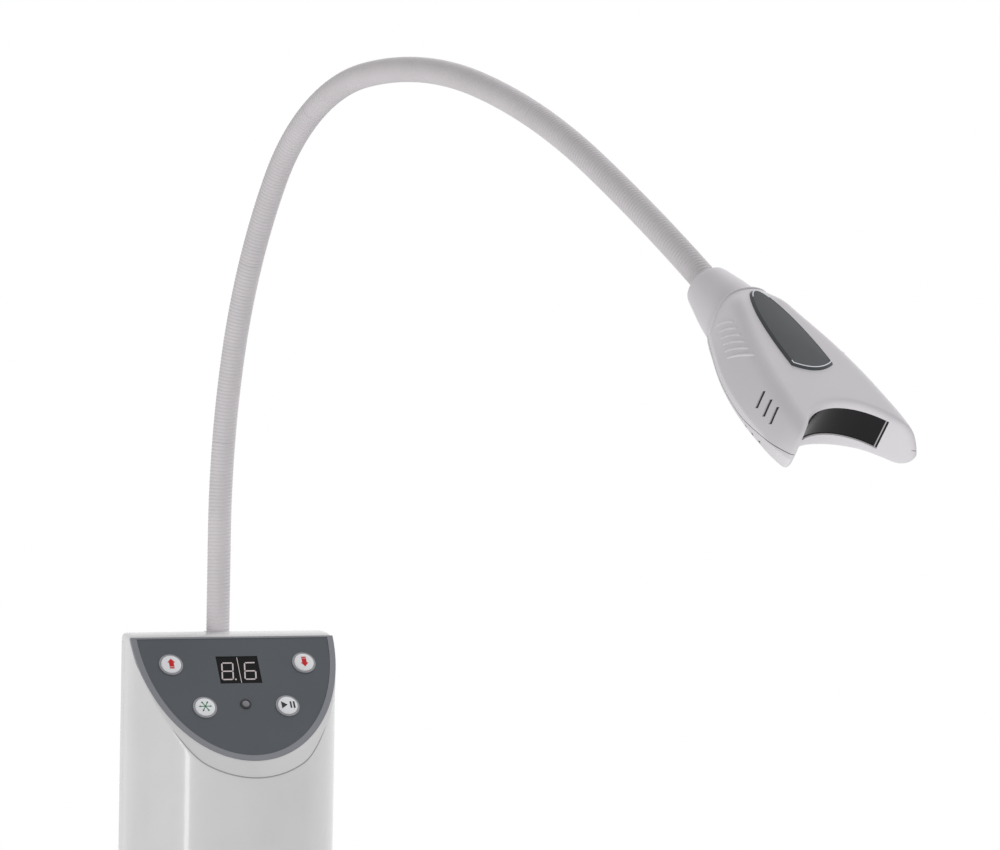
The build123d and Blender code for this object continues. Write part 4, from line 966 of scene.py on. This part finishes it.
class BoxForm:
    # The front housing's skin as a distance, in millimetres in the lamp's own frame.
    look = {
        "half": 62, "back": 41, "edge": 14, "top": 265, "bottom": 30, "crown": 1.3, "tilt": 39.5,
        "across": 62.8, "ahead": 56.2, "grow": 0.78, "band": 3.6, "bend": (62, -8), "corner": (44, -30.5),
        "cornerSoft": 6, "bendSoft": 16, "backSoft": 10.5, "creaseSoft": 0.5, "edgeSoft": 3, "lipSoft": 0.8,
        "backSlope": 0.8, "bandSlope": 0.96, "wall": 2.5, "pocket": 1.8, "plate": 4, "floor": 3,
        "insideSoft": 4,
    }

    def __init__(self):
        look = self.look
        run = np.array(look["corner"], float) - look["bend"]
        self.slant = np.array((-run[1], run[0])) / np.linalg.norm(run)
        self.lean = math.radians(look["tilt"])

    def oval(self, a, ahead, across, deep):
        reach = np.sqrt((a / across) ** 2 + (ahead / deep) ** 2) + 1e-6
        rise = np.sqrt((a / across ** 2) ** 2 + (ahead / deep ** 2) ** 2) / reach
        return (reach - 1) / np.maximum(rise, 0.008)

    def parts(self, x, y, z):
        # distances past the walls, the flaring band and the sloped panel
        look = self.look
        a = np.sqrt(x * x + 0.04)  # has no crease at the middle
        ahead = np.minimum(y - look["edge"], 0)
        oval = self.oval(a, ahead, look["across"] + look["band"], look["ahead"] + look["band"])
        flat = (a - look["bend"][0]) * self.slant[0] + (y - look["bend"][1]) * self.slant[1]
        sides = softMax(flat, a - look["half"], look["bendSoft"])
        walls = softMax(oval - look["backSlope"] * np.maximum(y - look["edge"], 0), sides, look["cornerSoft"])
        walls = softMax(walls, y - look["back"], look["backSoft"])
        drop = look["grow"] * (look["top"] + ahead / math.tan(self.lean) - z)
        band = self.oval(a, ahead, look["across"] + drop, look["ahead"] + drop) * look["bandSlope"]
        panel = (z - look["top"]) * math.sin(self.lean) - (y - look["edge"]) * math.cos(self.lean)
        return walls, band, panel

    def shell(self, x, y, z):
        look = self.look
        walls, band, panel = self.parts(x, y, z)
        outer = softMax(softMax(walls, band, look["creaseSoft"]), panel, look["lipSoft"])
        middle = (look["edge"] + look["back"]) / 2
        crown = look["crown"] * np.clip(1 - ((y - middle) / (look["back"] - middle)) ** 2, 0, 1)
        for limit in (z - look["top"] - crown, look["bottom"] - z):
            outer = softMax(outer, limit, look["edgeSoft"])
        soft = look["insideSoft"]
        hollow = softMax(walls, band, soft) + look["wall"]
        for limit in (panel + look["wall"] + look["pocket"], z - look["top"] + look["plate"],
                      look["bottom"] + look["floor"] - z):
            hollow = softMax(hollow, limit, soft)
        return np.maximum(outer, -hollow)


def onPanel(points):
    # (across, up the slope, proud of it) in millimetres to the lamp's metres
    look = BoxForm.look
    lean = math.radians(look["tilt"])
    p = np.asarray(points, float)
    y = look["edge"] + p[:, 1] * math.sin(lean) - p[:, 2] * math.cos(lean)
    z = look["top"] + p[:, 1] * math.cos(lean) + p[:, 2] * math.sin(lean)
    return np.stack([p[:, 0], y, z], 1) * milli


# where the keys and the indicator sit on the panel: across, up the slope
keys = {"up": (-40.5, -20.2), "down": (40.5, -20.2), "start": (-25, -50.4), "pause": (25, -50.4)}
indicatorPlace = (0, -48.4)


def frontHousing():
    look = {"step": 1.3, "low": (-66, -49, 27), "high": (66, 44, 269), "rounds": 3,
            "panel": (62, 87.5, -0.8), "panelSteps": 160, "display": (12.7, -33.8, -14.6), "keyHole": 6.3,
            "lensHole": 2.95, "holeDepths": (-10, -1), "proud": 6,
            "seam": 25.95, "under": 0.05, "cutSide": 75, "cutBack": 60, "cutFoot": 20}
    form = BoxForm()
    verts, faces = surfaceNet(form.shell, look["low"], look["high"], look["step"])
    verts = settle(form.shell, verts, faces, look["rounds"])
    print("housing skin:", len(verts), "points")
    housing = linked("frontHousing", meshOf("frontHousing", verts.tolist(), faces.tolist()))
    # the half ellipse that the faceplate lies in, the openings in it, and the space of the rear cover
    across, long, lip = look["panel"]
    turns = [math.pi + math.pi * i / look["panelSteps"] for i in range(look["panelSteps"] + 1)]
    outline = [(across * math.cos(t), long * math.sin(t)) for t in turns]
    outline = [(u, v) for u, v in outline if v < lip]
    outline = [(outline[0][0], lip)] + outline + [(outline[-1][0], lip)]
    pocket = prism(outline, -form.look["pocket"], look["proud"])
    wide, low, high = look["display"]
    openings = [rectangle(-wide, wide, low, high)]
    openings += [circle(place, look["keyHole"]) for place in keys.values()]
    openings.append(circle(indicatorPlace, look["lensHole"]))
    holes = joined([prism(opening, *look["holeDepths"]) for opening in openings])
    top = form.look["top"] - form.look["plate"] - look["under"]
    behind = rectangle(-look["cutSide"], look["cutSide"], look["seam"], look["cutBack"])
    tools = [cutter(*prism(behind, look["cutFoot"], top))]
    tools += [cutter(onPanel(points) / milli, sides) for points, sides in (pocket, holes)]
    carve(housing, tools)
    finishSkin(housing, pointsOf(housing.data) * milli, "boxPlastic")
    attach(housing, "housing")
    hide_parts("front_housing")


def bandCreaseShade():
    # a fine grey rod under the flaring band, painted shade in the small step where it meets the straight
    # front
    look = {"half": 46, "steps": 90, "radius": 0.36, "sunk": 0.2, "level": 200.0, "depths": (0.0, -50.0),
            "heights": (120.0, 262.0)}
    form = BoxForm()
    path = []
    for x in np.linspace(-look["half"], look["half"], look["steps"] + 1):
        y = bisect(lambda v: form.parts(x, v, look["level"])[0] < -look["sunk"], *look["depths"])
        z = bisect(lambda v: form.parts(x, y, v)[1] < -look["sunk"], *look["heights"])
        path.append((x, y, z))
    verts, faces = tubeRings(laidRod(lambda *p: form.parts(*p)[0], path, look["radius"]))
    piece("bandCreaseShade", [tuple(c * milli for c in v) for v in verts], faces, "seamGrey", "housing", sharp=60)


def keyCaps():
    # (radius, up) pairs from the stem's foot to the middle of the domed cap
    look = {"stem": [(2, -7.9), (2, -5.55), (7.5, -5.55), (7.5, -4.35), (6, -4.35)],
            "cap": [(6, 0.6), (5.94, 0.9), (5.75, 1.12), (5.4, 1.27), (4.7, 1.38), (3.5, 1.5), (2, 1.58),
                    (0.8, 1.6)]}
    for name, place in keys.items():
        rings = [[(x, y, w) for x, y in circle(place, r)] for r, w in look["stem"] + look["cap"]]
        verts, faces = tubeRings(rings)
        cap = piece("keyCap" + name.capitalize(), onPanel(verts), faces, "keyWhite", "key_" + name, sharp=50)
        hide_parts("button_" + name)


def printed(name, outlines, place, low, high, finish, body):
    # flat printed shapes, each an outline of (across, up) points from the place
    shapes = [prism([(place[0] + x, place[1] + y) for x, y in outline], low, high) for outline in outlines]
    verts, faces = joined(shapes)
    made = piece(name, onPanel(verts), faces, finish, body, sharp=30)


def strokeWay(start, end, wide):
    # which way a stroke runs, and from its middle to its side
    run = np.array(end, float) - start
    run /= np.linalg.norm(run)
    return run, np.array((-run[1], run[0])) * wide / 2


def bar(start, end, wide):
    # a straight stroke as an outline
    side = strokeWay(start, end, wide)[1]
    corners = ((start, -side), (end, -side), (end, side), (start, side))
    return [tuple(np.array(p, float) + q) for p, q in corners]


def keySymbols():
    look = {"low": 1.2, "high": 1.64, "arrow": (2.35, 3.4, 0.7, 1.4, -2.2), "foot": (1.4, -2.6, -3.4),
            "stroke": 0.5, "strokeReach": 0.9, "star": 3.9, "head": 1.0, "headHalf": 0.62,
            "play": (-3.9, -0.3, 2.35), "bars": (1.2, 3.2), "barSize": (1.0, 2.2)}
    half, tip, neck, body, tail = look["arrow"]
    arrow = [(-body, tail), (body, tail), (body, neck), (half, neck), (0, tip), (-half, neck), (-body, neck)]
    wide, top, low = look["foot"]
    up = [arrow, rectangle(-wide, wide, low, top)]
    down = [[(-x, -y) for x, y in outline] for outline in up]
    star = []
    for k in range(3):
        t = math.radians(60 * k)
        ahead = np.array((math.cos(t), math.sin(t)))
        side = np.array((-ahead[1], ahead[0])) * look["headHalf"]
        end = ahead * look["star"]
        star.append(bar(-end * look["strokeReach"], end * look["strokeReach"], look["stroke"]))
        for sign in (-1, 1):
            root = sign * (end - ahead * look["head"])
            star.append([root + sign * side, sign * end, root - sign * side])
    left, right, tall = look["play"]
    wide, high = look["barSize"]
    pause = [[(left, -tall), (right, 0), (left, tall)]]
    pause += [rectangle(x, x + wide, -high, high) for x in look["bars"]]
    shapes = {"up": ("inkRed", up), "down": ("inkRed", down), "start": ("inkGreen", star),
              "pause": ("inkBlack", pause)}
    for name, (ink, outlines) in shapes.items():
        printed("keySymbol" + name.capitalize(), outlines, keys[name], look["low"], look["high"], ink,
                "key_" + name)


def display():
    look = {"middle": (0, -24.9), "apart": 6.9, "wide": 3.3, "tall": 5.8, "stroke": 0.82, "gap": 0.22,
            "slant": 0.13, "low": -0.6, "high": -0.42, "point": 0.55, "pointOut": 0.75, "rightOff": 4,
            "line": (0.25, -33.2, -15.2, 0.42)}

    def segment(start, end):
        # one stroke with pointed ends
        run, side = strokeWay(start, end, look["stroke"])
        first, last = np.array(start) + run * look["gap"], np.array(end) - run * look["gap"]
        inset = run * look["stroke"] / 2
        ring = [first, first + inset - side, last - inset - side]
        ring += [last, last - inset + side, first + inset + side]
        return [(p[0] + look["slant"] * p[1], p[1]) for p in ring]

    w, t = look["wide"], look["tall"]
    strokes = [((-w, t), (w, t)), ((-w, 0), (w, 0)), ((-w, -t), (w, -t)),
               ((-w, 0), (-w, t)), ((w, 0), (w, t)), ((-w, -t), (-w, 0)), ((w, -t), (w, 0))]
    outlines = []
    for side in (-1, 1):
        middle = np.array(look["middle"]) + (side * look["apart"], 0)
        shown = [stroke for i, stroke in enumerate(strokes) if side < 0 or i != look["rightOff"]]
        outlines += [[tuple(middle + p) for p in segment(*stroke)] for stroke in shown]
        if side < 0:
            outlines.append(circle((middle[0] + w + look["pointOut"], middle[1] - t), look["point"], 16))
    x, low, high, wide = look["line"]
    outlines.append(bar((x, low), (x, high), wide))
    for k, outline in enumerate(outlines):
        area = sum(a[0] * b[1] - b[0] * a[1] for a, b in zip(outline, outline[1:] + outline[:1]))
        outlines[k] = outline if area > 0 else outline[::-1]
    printed("displaySegments", outlines, (0, 0), look["low"], look["high"], "segmentPale", "housing")


def indicator():
    # (radius, up) pairs for the lens and for the ring round it
    look = {"stem": [(2.85, -12.4), (2.85, -0.2), (2.55, 0.1)],
            "dome": [(2.3, 0.35), (1.9, 0.75), (1.3, 1.05), (0.6, 1.2)],
            "ring": [(2.3, -0.1), (2.3, 0.5), (2.5, 0.68), (3.1, 0.68), (3.35, 0.45), (3.4, -0.1)]}

    def rings(profile):
        return [[(x, y, up) for x, y in circle(indicatorPlace, radius)] for radius, up in profile]

    verts, faces = tubeRings(rings(look["stem"] + look["dome"]))
    lens = piece("indicatorLens", onPanel(verts), faces, "lensSilver", "housing", sharp=50)
    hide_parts("indicator_lens")
    verts, faces = loopRings(rings(look["ring"]))
    faces = [f[::-1] for f in faces]
    ring = piece("indicatorRing", onPanel(verts), faces, "blackPlastic", "housing", sharp=40)


def paleFloor():
    look = {"radius": 0.8, "rings": 40, "sides": 96, "paper": 0.86, "fadeFrom": 0.25, "fadeEnd": 0.98}
    sides = look["sides"]
    verts = [(0, 0, 0)]
    for k in range(1, look["rings"] + 1):
        verts += [(x, y, 0) for x, y in circle((0, 0), look["radius"] * k / look["rings"], sides)]
    faces = [(0, 1 + i, 1 + (i + 1) % sides) for i in range(sides)]
    for row in range(1, 1 + (look["rings"] - 1) * sides, sides):
        for i in range(sides):
            j = (i + 1) % sides
            faces.append((row + i, row + sides + i, row + sides + j, row + j))
    mesh = meshOf("floor", verts, faces)
    floor = linked("floor", mesh)
    made = bpy.data.materials.new("floorPaper")
    made.use_nodes = True
    tree = made.node_tree
    tree.nodes.clear()
    here = Wire(tree).node("TexCoord", out=3)
    far = here.node("VectorMath", {"operation": "LENGTH"}, {0: here}, out=1)
    paper = here.node("BsdfDiffuse", None, {"Color": (look["paper"], look["paper"], look["paper"], 1)})
    clear = here.node("BsdfTransparent")
    end = look["fadeEnd"] * look["radius"]
    fade = far.node("MapRange", {"interpolation_type": "SMOOTHSTEP"},
                    {"Value": far, "From Min": look["fadeFrom"], "From Max": end})
    both = here.node("MixShader", None, {0: fade, 1: paper, 2: clear})
    here.node("OutputMaterial", None, {"Surface": both})
    mesh.materials.append(made)


ribbedNeck()
print("neck done")
headShells()
gripRidges()
hoodRim()
headCollar()
lightWindow()
shield()
headScrews()
print("head done")
frontHousing()
bandCreaseShade()
keyCaps()
keySymbols()
display()
indicator()
boxScrews()
print("box done")
paleFloor()


def placedCamera():
    look = {"place": (-0.5624, -1.9171, 0.4307), "turn": -20.685, "tilt": -1.098, "roll": 1.025,
            "lens": 122.4, "sensor": 36, "nearest": 0.05, "furthest": 30}
    data = bpy.data.cameras.new("camera")
    data.lens = look["lens"]
    data.sensor_width = look["sensor"]
    data.clip_start = look["nearest"]
    data.clip_end = look["furthest"]
    camera = linked("camera", data)
    turn = Matrix.Rotation(math.radians(look["turn"]), 4, "Z")
    tilt = Matrix.Rotation(math.radians(90 + look["tilt"]), 4, "X")
    roll = Matrix.Rotation(math.radians(look["roll"]), 4, "Z")
    camera.matrix_world = Matrix.Translation(look["place"]) @ turn @ tilt @ roll
    scene.camera = camera


def softStudio():
    look = {
        "sky": 0.45,
        "lamps": {
            # name: place, size, watts, aim
            "left": ((-1.2, 0.1, 0.15), (0.7, 0.7), 3.1, (0.05, -0.2, 0.3)),
            "right": ((0.95, 0.2, 1.6), (1.0, 1.0), 16, (0.1, -0.35, 0.4)),
            "front": ((0.0, -0.95, 0.0), (0.4, 0.4), 2.2, (0, 0, 0.12)),
            "streak": ((-0.86, -0.4, 0.02), (0.09, 0.6), 1.1, (0, 0, 0.12)),
        },
    }
    world = bpy.data.worlds.new("studio")
    scene.world = world
    world.use_nodes = True
    world.node_tree.nodes.clear()
    start = Wire(world.node_tree)
    rays = ("Is Camera Ray", "Is Glossy Ray", "Is Transmission Ray")
    camera, glossy, through = (start.node("LightPath", out=name) for name in rays)
    seen = camera.math("MAXIMUM", camera, glossy.math("MAXIMUM", glossy, through))
    sky = start.node("Background", None, {"Color": (1, 1, 1, 1), "Strength": look["sky"]})
    paper = start.node("Background", None, {"Color": (1, 1, 1, 1), "Strength": 1.0})
    both = start.node("MixShader", None, {0: seen, 1: sky, 2: paper})
    start.node("OutputWorld", None, {"Surface": both})
    for name, (place, size, watts, aim) in look["lamps"].items():
        data = bpy.data.lights.new(name, "AREA")
        data.shape = "RECTANGLE"
        data.size, data.size_y = size
        data.energy = watts
        lamp = linked(name, data)
        lamp.location = place
        lamp.rotation_mode = "QUATERNION"
        lamp.rotation_quaternion = (Vector(aim) - Vector(place)).to_track_quat("-Z", "Y")
        lamp.visible_camera = False
        lamp.visible_glossy = name == "streak"  # the one lamp that may show in the gloss


placedCamera()
softStudio()
print("camera and lamps placed")
